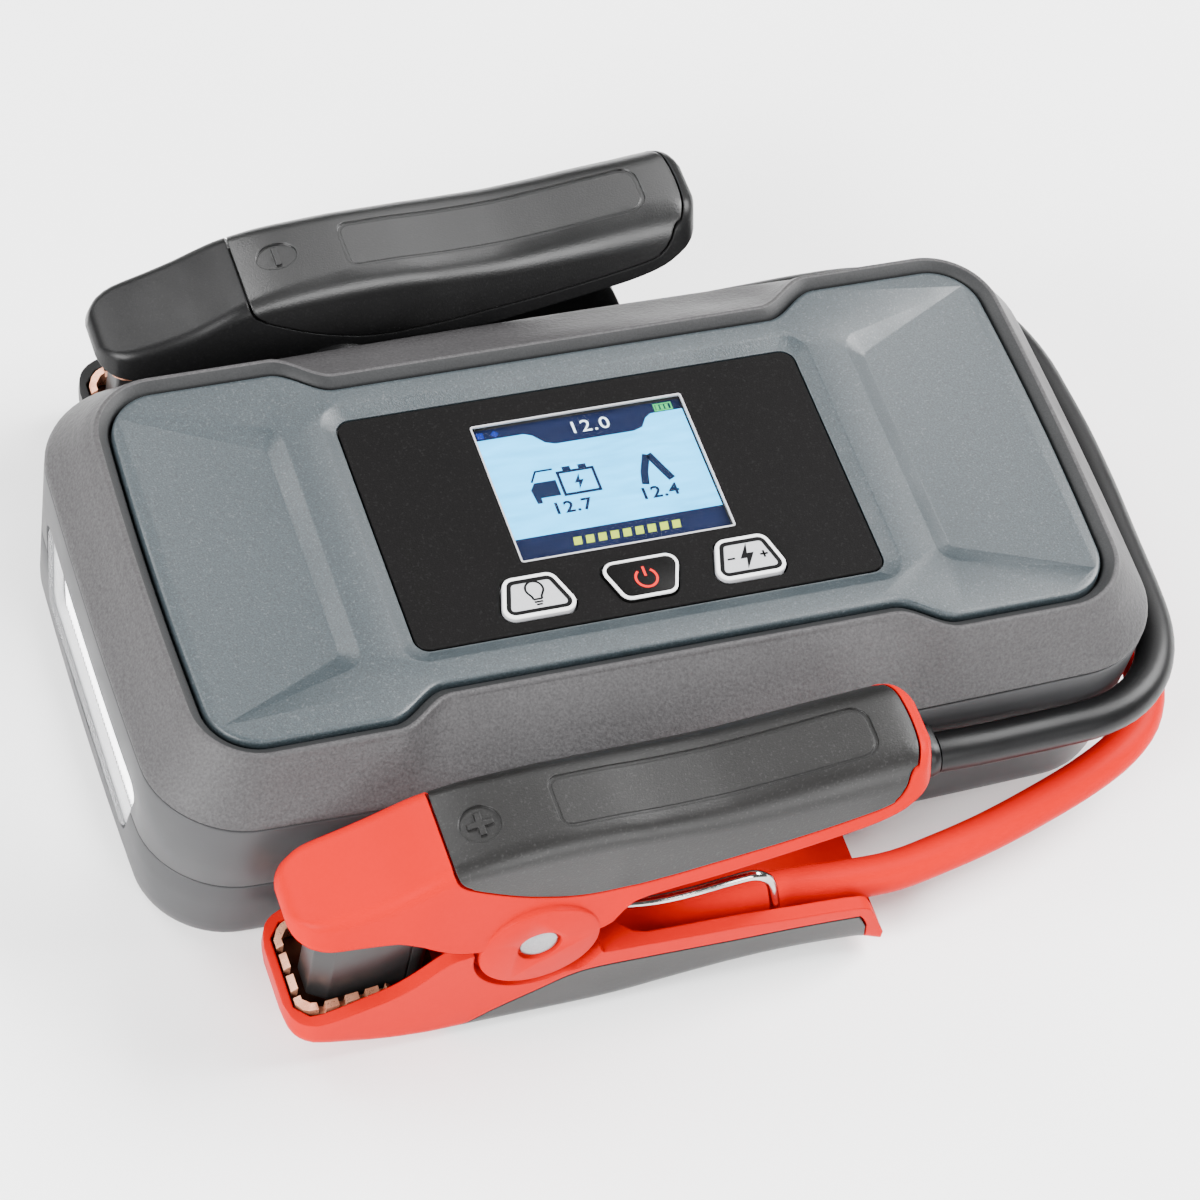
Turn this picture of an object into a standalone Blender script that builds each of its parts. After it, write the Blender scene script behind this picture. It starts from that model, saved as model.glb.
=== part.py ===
# Handheld lithium jump starter with two docked battery clamps.
# Frame: origin at the centre of the housing's underside, +X to the right along the
# long side, +Y to the rear, +Z up. Numbers below are millimetres; MM turns them
# into metres when a mesh is made.
import math

import bpy
from mathutils import Vector

MM = 0.001

# ---- driving dimensions (mm) ------------------------------------------------
GAP = 0.3              # gap between pieces that touch
WALL = 2.3             # shell wall
HALF_L = 85.2          # housing half length at the ridge, mid width
HALF_W = 44.6          # housing half width at the ridge, mid length
BOW_END = 1.0          # how far the ends bow out
BOW_SIDE = 1.5         # how far the long sides bow out
CORNER_R = 15.0
Z_SEAM = 16.0          # base shell to mid wall
Z_RIDGE = 32.4         # mid wall to shoulder
Z_FACE = 42.5          # face of the insert
Z_RIM = 42.9           # top of the shell's lip round the insert
DRAFT = 1.1            # wall draft from ridge to floor

INS_L, INS_W, INS_N = 75.7, 34.4, 29.6   # insert: half length, wing and waist half width
INS_R = 8.0
INS_X0, INS_X1 = 38.0, 48.0              # where the outline steps from waist to wing

OVL_L, OVL_W, OVL_R = 39.4, 22.9, 2.6    # overlay half size
OVL_Y = 0.35                             # overlay centre
Z_OVL = 41.6                             # face of the overlay, at the foot of its bevel
SCR_L, SCR_W = 18.0, 13.65               # screen half size
SCR_Y = 4.1 + OVL_Y                      # screen centre
KEY_Z = 42.3                             # top of a key
KEY_TRAVEL = 0.6

PIV_X, PIV_Z = -31.0, 22.4               # clamp pivot
CLAMP_Y = 56.0                           # clamp centre plane, front and rear
CL_HW = 11.0                             # clamp half width
BOSS_R = 9.8                             # round ear of the upper half
RIVET_R = 2.0
GRIP_T = 1.4                             # grip thickness

LEAD_D = 6.6                             # lead outer diameter
LEAD_Z = {-1: 25.0, 1: 11.0}              # height of the lead outlets, front and rear wall
GLAND_X0, GLAND_X1 = 35.2, 41.5

# ---- scene clean up ---------------------------------------------------------
for ob in list(bpy.data.objects):
    bpy.data.objects.remove(ob, do_unlink=True)

COL = bpy.context.scene.collection


# ---- materials ----------------------------------------------------------------
def material(name, rgb, rough=0.5, metal=0.0, alpha=1.0):
    m = bpy.data.materials.new(name)
    m.use_nodes = True
    b = m.node_tree.nodes["Principled BSDF"]
    b.inputs["Base Color"].default_value = (rgb[0], rgb[1], rgb[2], 1.0)
    b.inputs["Roughness"].default_value = rough
    b.inputs["Metallic"].default_value = metal
    b.inputs["Alpha"].default_value = alpha
    m.diffuse_color = (rgb[0], rgb[1], rgb[2], alpha)
    return m


SHOULDER = (0.135, 0.132, 0.135)
WALLGREY = (0.24, 0.24, 0.25)
INSERT = (0.20, 0.235, 0.245)
BLACK = (0.02, 0.02, 0.022)
CHARCOAL = (0.07, 0.068, 0.066)
RED = (0.80, 0.055, 0.035)
STEEL = (0.62, 0.62, 0.64)
COPPER = (0.80, 0.42, 0.26)
PCB = (0.02, 0.16, 0.07)
SILVER = (0.68, 0.69, 0.72)


# ---- mesh helpers -------------------------------------------------------------
def add_mesh(name, verts, faces, mat=None, origin=(0.0, 0.0, 0.0), smooth=None, guide=False):
    me = bpy.data.meshes.new(name)
    ox, oy, oz = origin
    me.from_pydata([((x - ox) * MM, (y - oy) * MM, (z - oz) * MM) for x, y, z in verts], [], faces)
    me.validate()
    me.update()
    ob = bpy.data.objects.new(name, me)
    ob.location = (ox * MM, oy * MM, oz * MM)
    COL.objects.link(ob)
    if mat is not None:
        me.materials.append(mat)
    if smooth:
        me.shade_smooth()
        me.set_sharp_from_angle(angle=math.radians(smooth))
    if guide:
        ob.hide_render = True
        ob.display_type = "WIRE"
    return ob


def signed_volume(verts, faces):
    vol = 0.0
    for f in faces:
        a = Vector(verts[f[0]])
        for i in range(1, len(f) - 1):
            vol += a.dot(Vector(verts[f[i]]).cross(Vector(verts[f[i + 1]])))
    return vol


def loft(rings, closed=False):
    """Skin a list of equal-length rings; caps at both ends unless closed."""
    n = len(rings[0])
    verts = [tuple(p) for r in rings for p in r]
    faces = []
    k = len(rings)
    for i in range(k if closed else k - 1):
        a, b = i * n, ((i + 1) % k) * n
        for j in range(n):
            j2 = (j + 1) % n
            faces.append((a + j, a + j2, b + j2, b + j))
    if not closed:
        faces.append(tuple(reversed(range(n))))
        faces.append(tuple(range((k - 1) * n, k * n)))
    if signed_volume(verts, faces) < 0:
        faces = [tuple(reversed(f)) for f in faces]
    return verts, faces


def join(*parts):
    verts, faces = [], []
    for v, f in parts:
        o = len(verts)
        verts += list(v)
        faces += [tuple(i + o for i in q) for q in f]
    return verts, faces


def prism(profile, a, b, plane="xz"):
    """Extrude a closed profile between a and b along the plane's normal."""
    if plane == "xz":
        rings = [[(u, c, w) for u, w in profile] for c in (a, b)]
    elif plane == "xy":
        rings = [[(u, w, c) for u, w in profile] for c in (a, b)]
    else:
        rings = [[(c, u, w) for u, w in profile] for c in (a, b)]
    return loft(rings)


def box(x0, x1, y0, y1, z0, z1):
    return prism([(x0, y0), (x1, y0), (x1, y1), (x0, y1)], z0, z1, "xy")


def circle(cx, cy, r, n, phase=0.0):
    return [(cx + r * math.cos(phase + 2 * math.pi * i / n), cy + r * math.sin(phase + 2 * math.pi * i / n)) for i in range(n)]


def cylinder(axis, c, r, a, b, n=16):
    """Cylinder along axis between a and b; c is the centre in the other two axes."""
    prof = circle(c[0], c[1], r, n, math.pi / n)
    return prism(prof, a, b, {"y": "xz", "z": "xy", "x": "yz"}[axis])


def turned(axis, c, steps, n=16):
    """Turned body: steps are (position along the axis, radius)."""
    rings = []
    for pos, r in steps:
        ring = circle(c[0], c[1], r, n, math.pi / n)
        if axis == "y":
            rings.append([(u, pos, w) for u, w in ring])
        elif axis == "z":
            rings.append([(u, w, pos) for u, w in ring])
        else:
            rings.append([(pos, u, w) for u, w in ring])
    return loft(rings)


def rounded_poly(pts, r, seg=4):
    """Round the corners of a polygon by r (a number, or one per corner)."""
    out = []
    n = len(pts)
    for i in range(n):
        p0, p1, p2 = Vector(pts[i - 1]), Vector(pts[i]), Vector(pts[(i + 1) % n])
        rr = r[i] if isinstance(r, (list, tuple)) else r
        d0, d2 = (p0 - p1).normalized(), (p2 - p1).normalized()
        ang = d0.angle(d2)
        if rr <= 0 or ang > math.pi - 0.02:
            out.append(tuple(p1))
            continue
        t = min(rr / math.tan(ang / 2), 0.48 * min((p0 - p1).length, (p2 - p1).length))
        rr = t * math.tan(ang / 2)
        mid = (d0 + d2).normalized()
        c = p1 + mid * (rr / math.sin(ang / 2))
        a, b = p1 + d0 * t - c, p1 + d2 * t - c
        tot = a.angle(b)
        for k in range(seg + 1):
            u = k / seg
            v = (a * math.sin((1 - u) * tot) + b * math.sin(u * tot)) / math.sin(tot)
            out.append(tuple(c + v))
    return out


def boolean(ob, cutter, op="DIFFERENCE"):
    m = ob.modifiers.new(cutter.name, "BOOLEAN")
    m.operation = op
    m.solver = "EXACT"
    m.object = cutter
    return m


def cutter(name, geo):
    return add_mesh("cut_" + name, geo[0], geo[1], guide=True)


def piece(name, geo, rgb, rough=0.5, metal=0.0, origin=(0, 0, 0), smooth=None, alpha=1.0):
    return add_mesh(name, geo[0], geo[1], material(name, rgb, rough, metal, alpha), origin, smooth)


# ---- housing outlines ---------------------------------------------------------
SIDE_X = [-57, -49, -46, -43, -40, -37, -18, 0, 18, 37, 40, 43, 46, 49, 57]
CORNER_SEG = 4


def full_ring(hx, hy, r, side_y, scale, bow_end, bow_side):
    """Ring of points, counter-clockwise from the front left corner."""
    pts = []

    def corner(cx, cy, a0):
        for k in range(CORNER_SEG + 1):
            a = math.radians(a0 + 90.0 * k / CORNER_SEG)
            pts.append((cx + r * math.cos(a), cy + r * math.sin(a)))

    wide = hy
    corner(-(hx - r), -(wide - r), 180)
    for x in SIDE_X:
        pts.append((x * scale, -side_y(x)))
    corner(hx - r, -(wide - r), 270)
    for f in (-0.45, 0.0, 0.45):
        pts.append((hx, f * (wide - r)))
    corner(hx - r, wide - r, 0)
    for x in reversed(SIDE_X):
        pts.append((x * scale, side_y(x)))
    corner(-(hx - r), wide - r, 90)
    for f in (0.45, 0.0, -0.45):
        pts.append((-hx, f * (wide - r)))
    return [(x * (1 - bow_end / hx * (y / hy) ** 2), y * (1 - bow_side / hy * (x / hx) ** 2)) for x, y in pts]


def shell_ring(inset, z):
    """The housing's own outline, inset and at height z, with the wall's draft below the ridge."""
    d = inset + DRAFT * max(0.0, 1 - z / Z_RIDGE)
    hx, hy, r = HALF_L - d, HALF_W - d, max(CORNER_R - d, 2.0)
    ring = full_ring(hx, hy, r, lambda x: hy, 1.03, BOW_END, BOW_SIDE)
    return [(x, y, z) for x, y in ring]


def step(t):
    t = min(max(t, 0.0), 1.0)
    return t * t * (3 - 2 * t)


def insert_ring(off, z):
    """The insert's two-winged outline, offset outwards by off."""
    hx, hw, hn, r = INS_L + off, INS_W + off, INS_N + off, INS_R + off

    def side(x):
        return hn + (hw - hn) * step((abs(x) - (INS_X0 - 0.25 * off)) / (INS_X1 - INS_X0))

    ring = full_ring(hx, hw, r, side, 1.0, BOW_END, 0.0)
    return [(x, y, z) for x, y in ring]


def lerp_ring(a, b, t, z, bulge=0.0):
    out = []
    for (ax, ay, _), (bx, by, _) in zip(a, b):
        x, y = ax + (bx - ax) * t, ay + (by - ay) * t
        out.append((x, y, z))
    return out


# ---- shells -------------------------------------------------------------------
lens_cut_profile = rounded_poly([(-27.6, 23.8), (27.6, 23.8), (23.2, 6.9), (-23.2, 6.9)], 2.6, 3)
cut_lens = cutter("lamp_opening", prism(lens_cut_profile, -90, -78, "yz"))
cut_port = cutter("port_opening", prism(rounded_poly([(-13, 14.0), (13, 14.0), (13, 23.6), (-13, 23.6)], 1.5, 2), 79, 90, "yz"))

base = piece("base_shell", loft([
    shell_ring(3.0, 0.0), shell_ring(1.1, 0.6), shell_ring(0.25, 2.4), shell_ring(0.0, 5.0),
    shell_ring(0.0, Z_SEAM - GAP / 2), shell_ring(WALL, Z_SEAM - GAP / 2), shell_ring(WALL, 5.0), shell_ring(WALL + 1.2, WALL)]),
    WALLGREY, 0.45, smooth=30)

SCREWS = [(sx * 73.5, sy * 32.5) for sx in (-1, 1) for sy in (-1, 1)]
for i, (x, y) in enumerate(SCREWS, 1):
    # the well is open underneath; its top carries the screw's head
    boolean(base, cutter("base_boss_%d" % i, cylinder("z", (x, y), 4.2, 1.6, 12.0, 12)), "UNION")
    boolean(base, cutter("screw_well_%d" % i, turned("z", (x, y), [(-1.0, 2.9), (8.5, 2.9), (8.5, 1.75), (13.0, 1.75)], 12)))
boolean(base, cut_lens)
boolean(base, cut_port)

mid = piece("mid_shell", loft([
    shell_ring(0.0, Z_SEAM + GAP / 2), shell_ring(0.0, Z_RIDGE - GAP / 2), shell_ring(WALL, Z_RIDGE - GAP / 2), shell_ring(WALL, Z_SEAM + GAP / 2)], closed=True),
    WALLGREY, 0.45, smooth=30)
boolean(mid, cut_lens)
boolean(mid, cut_port)
for s, nm in ((-1, "front"), (1, "rear")):
    boolean(mid, cutter(nm + "_post_hole", box(-60.3, -53.7, *sorted((s * 38, s * 48)), 18.2, 24.3)))
    hole = cutter(nm + "_lead_hole", box(35.9, 40.9, *sorted((s * 38, s * 48)), LEAD_Z[s] - 2.8, LEAD_Z[s] + 2.8))
    boolean(mid if s < 0 else base, hole)

ridge0 = shell_ring(0.0, Z_RIDGE + GAP / 2)
ridge1 = shell_ring(0.35, Z_RIDGE + 1.3)
rim = insert_ring(2.2, 42.3)
inner_low = shell_ring(WALL, Z_RIDGE + GAP / 2)
inner_mid = shell_ring(WALL, Z_RIDGE + 1.0)
top = piece("top_shell", loft([
    ridge0, ridge1, lerp_ring(ridge1, rim, 0.5, 37.9), lerp_ring(ridge1, rim, 0.85, 41.1), rim,
    insert_ring(1.7, Z_RIM), insert_ring(1.0, Z_RIM - 0.1), insert_ring(0.4, 42.2), insert_ring(0.4, 38.9),
    insert_ring(-2.0, 38.9), insert_ring(-2.0, 37.4), insert_ring(0.2, 37.4), inner_mid, inner_low], closed=True),
    SHOULDER, 0.6, smooth=30)
for i, (x, y) in enumerate(SCREWS, 1):
    boolean(top, cutter("top_boss_%d" % i, cylinder("z", (x, y), 3.4, 12.4, 38.0, 12)), "UNION")
    boolean(top, cutter("top_pilot_%d" % i, cylinder("z", (x, y), 1.5, 10.0, 27.0, 8)))
    piece("case_screw_%d" % i, turned("z", (x, y), [(5.6, 2.4), (6.3, 2.6), (8.1, 2.6), (8.2, 1.2), (25.5, 1.2), (26.4, 0.6)], 12), STEEL, 0.3, 1.0, origin=(x, y, 0), smooth=30)

# ---- insert, overlay, display, keys -------------------------------------------
ins = piece("insert_panel", loft([insert_ring(0.0, 39.2), insert_ring(0.0, Z_FACE - 0.4), insert_ring(-0.4, Z_FACE)]), INSERT, 0.55, smooth=30)


def overlay_ring(d, z, r):
    return [(x, y + OVL_Y, z) for x, y in rounded_poly([(-OVL_L - d, -OVL_W - d), (OVL_L + d, -OVL_W - d), (OVL_L + d, OVL_W + d), (-OVL_L - d, OVL_W + d)], r, 3)]


boolean(ins, cutter("overlay_recess", loft([overlay_ring(GAP, 40.4, OVL_R), overlay_ring(GAP, Z_OVL - 0.1, OVL_R), overlay_ring(2.1, Z_FACE, OVL_R + 1.6), overlay_ring(2.1, 45, OVL_R + 1.6)])))
boolean(ins, cutter("display_bay", box(-SCR_L - 3.0, SCR_L + 3.0, SCR_Y - SCR_W - 2.2, SCR_Y + SCR_W + 2.2, 37, 45)))
for s, nm in ((-1, "left"), (1, "right")):
    # each wing has a shallow recess: bevelled on the inner side, its floor ramps up to nothing at the outer corners
    floor = [(s * 51.2, -20.8, 41.3), (s * 51.2, 20.8, 41.3), (s * 73.4, 30.2, 42.5), (s * 73.4, -30.2, 42.5)]
    brim = [(s * 49.0, -24.0, 43.5), (s * 49.0, 24.0, 43.5), (s * 74.0, 30.8, 43.5), (s * 74.0, -30.8, 43.5)]
    boolean(ins, cutter(nm + "_wing_recess", loft([floor, brim])))

KEYS = {  # outline, centre
    "light": ([(-25.0, -20.2), (-11.2, -20.2), (-14.3, -12.3), (-22.6, -12.3)], (-18.3, -16.3)),
    "power": ([(-4.4, -20.3), (4.4, -20.3), (7.2, -12.6), (-7.2, -12.6)], (0.0, -16.5)),
    "start": ([(11.0, -20.0), (24.2, -20.0), (21.8, -12.0), (13.4, -12.0)], (17.6, -16.0)),
}


def grow(poly, c, d):
    out = []
    n = len(poly)
    for i in range(n):
        p0, p1, p2 = Vector(poly[i - 1]), Vector(poly[i]), Vector(poly[(i + 1) % n])
        e0, e1 = (p1 - p0).normalized(), (p2 - p1).normalized()
        n0, n1 = Vector((e0.y, -e0.x)), Vector((e1.y, -e1.x))
        k = (n0 + n1) / max(1 + n0.dot(n1), 0.2)
        out.append(tuple(p1 + k * d))
    return out


ovl = piece("overlay_panel", loft([overlay_ring(0.0, 40.7, OVL_R - 0.3), overlay_ring(0.0, Z_OVL, OVL_R - 0.3)]), BLACK, 0.45, smooth=30)
boolean(ovl, cutter("window_hole", prism(rounded_poly([(-SCR_L - GAP, SCR_Y - SCR_W - GAP), (SCR_L + GAP, SCR_Y - SCR_W - GAP), (SCR_L + GAP, SCR_Y + SCR_W + GAP), (-SCR_L - GAP, SCR_Y + SCR_W + GAP)], 0.8, 2), 40, 44, "xy")))
for nm, (poly, c) in KEYS.items():
    hole = cutter(nm + "_key_hole", prism(rounded_poly(grow(poly, c, GAP), 2.2, 3), 37, 45, "xy"))
    boolean(ins, hole)
    boolean(ovl, hole)
    cap = [[(x, y, z) for x, y in rounded_poly(grow(poly, c, d), 2.0, 3)] for z, d in ((38.2, 0.0), (KEY_Z - 0.35, 0.0), (KEY_Z, -0.45))]
    key = piece(nm + "_key", loft(cap), SILVER if nm != "power" else BLACK, 0.35, origin=(c[0], c[1], KEY_Z), smooth=30)
    fl = cutter(nm + "_flange", loft([[(x, y, z) for x, y in rounded_poly(grow(poly, c, 0.9), 2.4, 3)] for z in (38.0, 38.9)]))
    st = cutter(nm + "_stem", cylinder("z", c, 1.6, 36.85, 38.4, 12))
    boolean(key, fl, "UNION")
    boolean(key, st, "UNION")
    body = join(box(c[0] - 3.0, c[0] + 3.0, c[1] - 3.0, c[1] + 3.0, 34.9, 35.9))
    sw = piece(nm + "_switch", body, BLACK, 0.5)
    boolean(sw, cutter(nm + "_dome", cylinder("z", c, 1.7, 35.5, 36.1, 12)), "UNION")

piece("display_window", prism(rounded_poly([(-SCR_L, SCR_Y - SCR_W), (SCR_L, SCR_Y - SCR_W), (SCR_L, SCR_Y + SCR_W), (-SCR_L, SCR_Y + SCR_W)], 0.6, 2), 40.9, Z_OVL - 0.05, "xy"), (0.75, 0.85, 0.9), 0.08, alpha=0.35)
piece("display_module", box(-SCR_L - 2.6, SCR_L + 2.6, SCR_Y - SCR_W - 1.8, SCR_Y + SCR_W + 1.8, 37.2, 40.5), (0.45, 0.62, 0.72), 0.3)
piece("main_board", box(-46, 46, -25.5, 25.5, 33.0, 34.6), PCB, 0.5)

# ---- work lamp ----------------------------------------------------------------
def lens_ring(x, d):
    return [(x, y, z) for y, z in rounded_poly([(-27.3 + d, 23.5 - d), (27.3 - d, 23.5 - d), (22.95 - d, 7.2 + d), (-22.95 + d, 7.2 + d)], 2.4, 3)]


piece("lamp_lens", loft([lens_ring(-84.4, 0.3), lens_ring(-84.1, 0.0), lens_ring(-82.8, 0.0)]), (0.9, 0.92, 0.94), 0.1, alpha=0.35, smooth=30)
n_rib = 18
rib = []
for i in range(n_rib * 2 + 1):
    y = -23.5 + 47.0 * i / (n_rib * 2)
    rib.append((-80.6 - (0.7 if i % 2 else 0.0), y))
refl_profile = rib + [(-78.9, 23.5), (-78.9, -23.5)]
piece("lamp_reflector", prism(refl_profile, 11.4, 21.6, "xy"), (0.9, 0.9, 0.9), 0.15, 0.6)
piece("lamp_board", box(-78.4, -76.9, -22, 22, 11.6, 21.4), (0.85, 0.85, 0.82), 0.5)

# ---- battery and power parts ---------------------------------------------------
cell_x0, cell_x1, cell_hw, cell_t = -64.0, 34.0, 29.5, 6.5
for i in range(4):
    z = 4.2 + i * (cell_t + 0.35)
    piece("cell_%d" % (i + 1), prism(rounded_poly([(cell_x0, -cell_hw), (cell_x1, -cell_hw), (cell_x1, cell_hw), (cell_x0, cell_hw)], 2.0, 2), z, z + cell_t, "xy"), (0.55, 0.56, 0.58), 0.35, 0.6)
cradle = piece("cell_cradle", box(cell_x0 - 1.8, cell_x1 + 1.8, -cell_hw - 1.8, cell_hw + 1.8, 2.6, 26.0), BLACK, 0.6)
boolean(cradle, cutter("cell_bay", box(cell_x0 - 0.5, cell_x1 + 0.5, -cell_hw - 0.5, cell_hw + 0.5, 3.8, 40)))
piece("power_board", box(38.5, 68.0, -30, 30, 3.6, 5.2), PCB, 0.5)
piece("relay", box(44.0, 64.0, -13.5, 13.5, 5.5, 27.0), BLACK, 0.4)
for s, nm in ((-1, "negative_busbar"), (1, "positive_busbar")):
    prof = [(20.0, 31.6), (20.0, 32.5), (42.0, 32.5), (42.0, 6.6), (52.0, 6.6), (52.0, 5.6), (40.8, 5.6), (40.8, 31.6)]
    piece(nm, prism(prof, *sorted((s * 18.5, s * 26.5)), "xz"), COPPER, 0.3, 1.0)

# charging and USB sockets in the right end
bez = piece("port_bezel", prism(rounded_poly([(-12.7, 14.3), (12.7, 14.3), (12.7, 23.3), (-12.7, 23.3)], 1.3, 2), 82.0, 83.9, "yz"), BLACK, 0.5)
boolean(bez, cutter("usb_a_hole", box(80, 86, -10.6, 3.2, 15.8, 21.8)))
boolean(bez, cutter("usb_c_hole", prism(rounded_poly([(5.4 - 0.6, 17.0), (10.9, 17.0), (10.9, 20.6), (5.4 - 0.6, 20.6)], 1.0, 2), 80, 86, "yz")))
ua = piece("usb_a_socket", box(70.0, 83.4, -10.25, 2.85, 16.1, 21.5), STEEL, 0.3, 1.0)
boolean(ua, cutter("usb_a_cavity", box(72.0, 85, -9.95, 2.55, 16.4, 21.2)))
boolean(ua, cutter("usb_a_tongue", box(71.5, 82.5, -9.25, 1.85, 18.9, 20.7)), "UNION")
uc = piece("usb_c_socket", prism(rounded_poly([(5.1, 17.3), (10.6, 17.3), (10.6, 20.3), (5.1, 20.3)], 0.9, 2), 75.0, 83.4, "yz"), STEEL, 0.3, 1.0)
boolean(uc, cutter("usb_c_cavity", prism(rounded_poly([(5.4, 17.6), (10.3, 17.6), (10.3, 20.0), (5.4, 20.0)], 0.7, 2), 76.5, 85, "yz")))

# ---- dock posts and lead glands --------------------------------------------------
for s, nm in ((-1, "front"), (1, "rear")):
    # a broad head on a narrower stem, which passes over the clamp's inner wall
    prof = rounded_poly([(-65.2, 54.9), (-46.6, 54.9), (-46.6, 62.0), (-65.2, 62.0)], [0.8, 0.8, 2.4, 0], 2)[:-1] + [(-62.4, 62.0), (-65.2, 60.2)]
    post = piece(nm + "_dock_post", prism([(u, s * w) for u, w in prof], 10.2, 25.4, "xy"), CHARCOAL, 0.5, smooth=30)
    boolean(post, cutter(nm + "_post_stem", box(-61.4, -52.8, *sorted((s * 44.9, s * 56.0)), 16.8, 24.8)), "UNION")
    boolean(post, cutter(nm + "_post_spigot", box(-60.0, -54.0, *sorted((s * 39.0, s * 46.0)), 18.5, 24.0)), "UNION")

    # outlet of the lead: it leaves along +X close to the wall
    zc = LEAD_Z[s]
    rings = []
    for x, out, h in ((GLAND_X0, 46.6, 2.4), (36.6, 49.6, 3.9), (38.6, 51.9, 4.4), (GLAND_X1, 52.5, 4.5)):
        ring = [(x, s * 44.95, zc - h), (x, s * 44.95, zc + h)]
        cy = max(out - h * 0.9, 45.2)
        for k in range(7):
            a = math.radians(90 - 30 * k)
            ring.append((x, s * (cy + (out - cy) * math.cos(a)), zc + h * math.sin(a)))
        rings.append(ring)
    gl = piece(nm + "_lead_gland", loft(rings), BLACK, 0.6, smooth=40)
    boolean(gl, cutter(nm + "_gland_root", box(36.2, 40.6, *sorted((s * 39.5, s * 45.6)), zc - 2.5, zc + 2.5)), "UNION")


# ---- clamps ---------------------------------------------------------------------
# upper half stations: x, half width at the bottom edge, half width at the top, bottom z, top z, corner radius
UP = [(-70.2, 3.2, 2.4, 30.4, 31.7, 0.6), (-69.8, 4.8, 3.7, 30.1, 32.6, 1.1), (-68.9, 6.6, 5.2, 30.0, 33.4, 1.5), (-67.5, 8.1, 6.5, 30.0, 34.0, 1.8), (-65.0, 9.2, 7.6, 30.0, 34.8, 2.0),
      (-60.5, 9.7, 8.1, 30.2, 36.2, 2.2), (-55.0, 10.3, 8.3, 30.4, 38.4, 2.4), (-51.5, 10.8, 8.3, 29.3, 40.3, 2.4), (-48.0, 11.0, 8.3, 27.0, 42.2, 2.6),
      (-44.5, 11.0, 8.3, 25.1, 43.4, 2.8), (-41.0, 11.0, 8.4, 24.2, 44.3, 3.2), (-34.0, 11.0, 8.4, 23.6, 45.4, 3.8), (-27.0, 11.0, 8.4, 23.6, 46.0, 4.0),
      (-20.4, 11.0, 8.4, 24.6, 46.1, 4.0), (-17.0, 11.0, 8.4, 30.2, 46.0, 4.0), (-12.5, 11.0, 8.4, 31.7, 45.9, 4.0), (-4.0, 11.0, 8.5, 33.1, 46.1, 4.5),
      (5.0, 11.0, 8.5, 35.1, 47.1, 5.1), (13.0, 11.0, 8.5, 37.0, 48.4, 5.8), (20.0, 11.0, 8.3, 38.9, 49.5, 6.4), (25.0, 10.9, 8.0, 41.2, 50.1, 6.6),
      (27.4, 10.5, 7.6, 43.2, 50.2, 5.4), (29.2, 9.4, 6.8, 44.4, 49.9, 4.2), (30.4, 7.6, 5.4, 45.2, 49.4, 3.0), (31.0, 5.6, 4.0, 45.9, 48.9, 1.8)]
# lower half stations: x, half width, bottom z, top z, corner radius
LOW = [(-69.2, 5.2, 7.4, 10.4, 1.2), (-68.6, 8.0, 6.2, 10.6, 1.8), (-67.3, 9.8, 5.2, 10.9, 2.4), (-65.2, 10.8, 4.3, 11.3, 3.0), (-61.8, 11.0, 3.2, 12.3, 3.4),
       (-58.0, 11.0, 2.1, 13.6, 3.6), (-54.0, 11.0, 1.2, 15.1, 3.6), (-51.0, 11.0, 0.7, 17.0, 3.6), (-49.0, 11.0, 0.5, 18.8, 3.6), (-47.0, 11.0, 0.3, 20.9, 3.6),
       (-44.5, 11.0, 0.1, 22.8, 3.8), (-41.0, 11.0, 0.0, 23.4, 4.0), (-36.5, 11.0, 0.0, 30.0, 4.0), (-25.5, 11.0, 0.0, 30.0, 4.0), (-19.5, 11.0, 0.1, 16.5, 4.0),
       (-14.0, 11.0, 0.5, 16.3, 4.0), (-8.0, 11.0, 1.4, 16.0, 4.0), (-2.0, 11.0, 2.2, 15.8, 4.0), (4.0, 11.0, 2.9, 15.6, 4.0), (12.0, 11.0, 3.3, 14.9, 4.0),
       (25.4, 11.0, 2.8, 13.6, 3.6), (30.2, 11.0, 2.5, 5.0, 1.0)]


def up_section(x, yc, w, wt, zb, zt, r, inset=0.0, drop=0.0, seg=3):
    """Across the upper half: leaning side walls and rounded top corners."""
    w, wt, zt = w - inset, wt - inset, zt - inset
    r = min(max(r - inset, 0.4), 0.8 * (zt - zb), 0.8 * wt)
    slope = (w - wt) / (zt - zb)
    wb = w + slope * drop
    lean = math.degrees(math.atan(slope))
    pts = [(-wb, zb - drop), (wb, zb - drop)]
    # centre of the corner arc, so that it meets the leaning wall and the flat top
    cz = zt - r
    wall = w - slope * (cz - zb)
    cy = wall - r / math.cos(math.radians(lean))
    arc = [(cy + r * math.cos(math.radians(a)), cz + r * math.sin(math.radians(a))) for a in [lean + (90 - lean) * k / seg for k in range(seg + 1)]]
    pts += arc + [(-y, z) for y, z in reversed(arc)]
    return [(x, yc + y, z) for y, z in pts]


def low_section(x, yc, w, zb, zt, r, inset=0.0, rise=0.0, seg=3):
    """Across the lower half: upright side walls and rounded bottom corners."""
    w, zb, zt = w - inset, zb + inset, zt + rise
    r = min(max(r - inset, 0.4), 0.9 * (zt - zb), 0.9 * w)
    pts = [(w, zt), (-w, zt)]
    for a0, cy in ((180, -w + r), (270, w - r)):
        for k in range(seg + 1):
            a = math.radians(a0 + 90.0 * k / seg)
            pts.append((cy + r * math.cos(a), zb + r + r * math.sin(a)))
    return [(x, yc + y, z) for y, z in pts]


def up_loft(yc, inset=0.0, drop=0.0, x_from=-100.0, seg=3):
    return loft([up_section(x, yc, w, wt, zb, zt, r, inset, drop, seg) for x, w, wt, zb, zt, r in UP if x > x_from])


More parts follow.
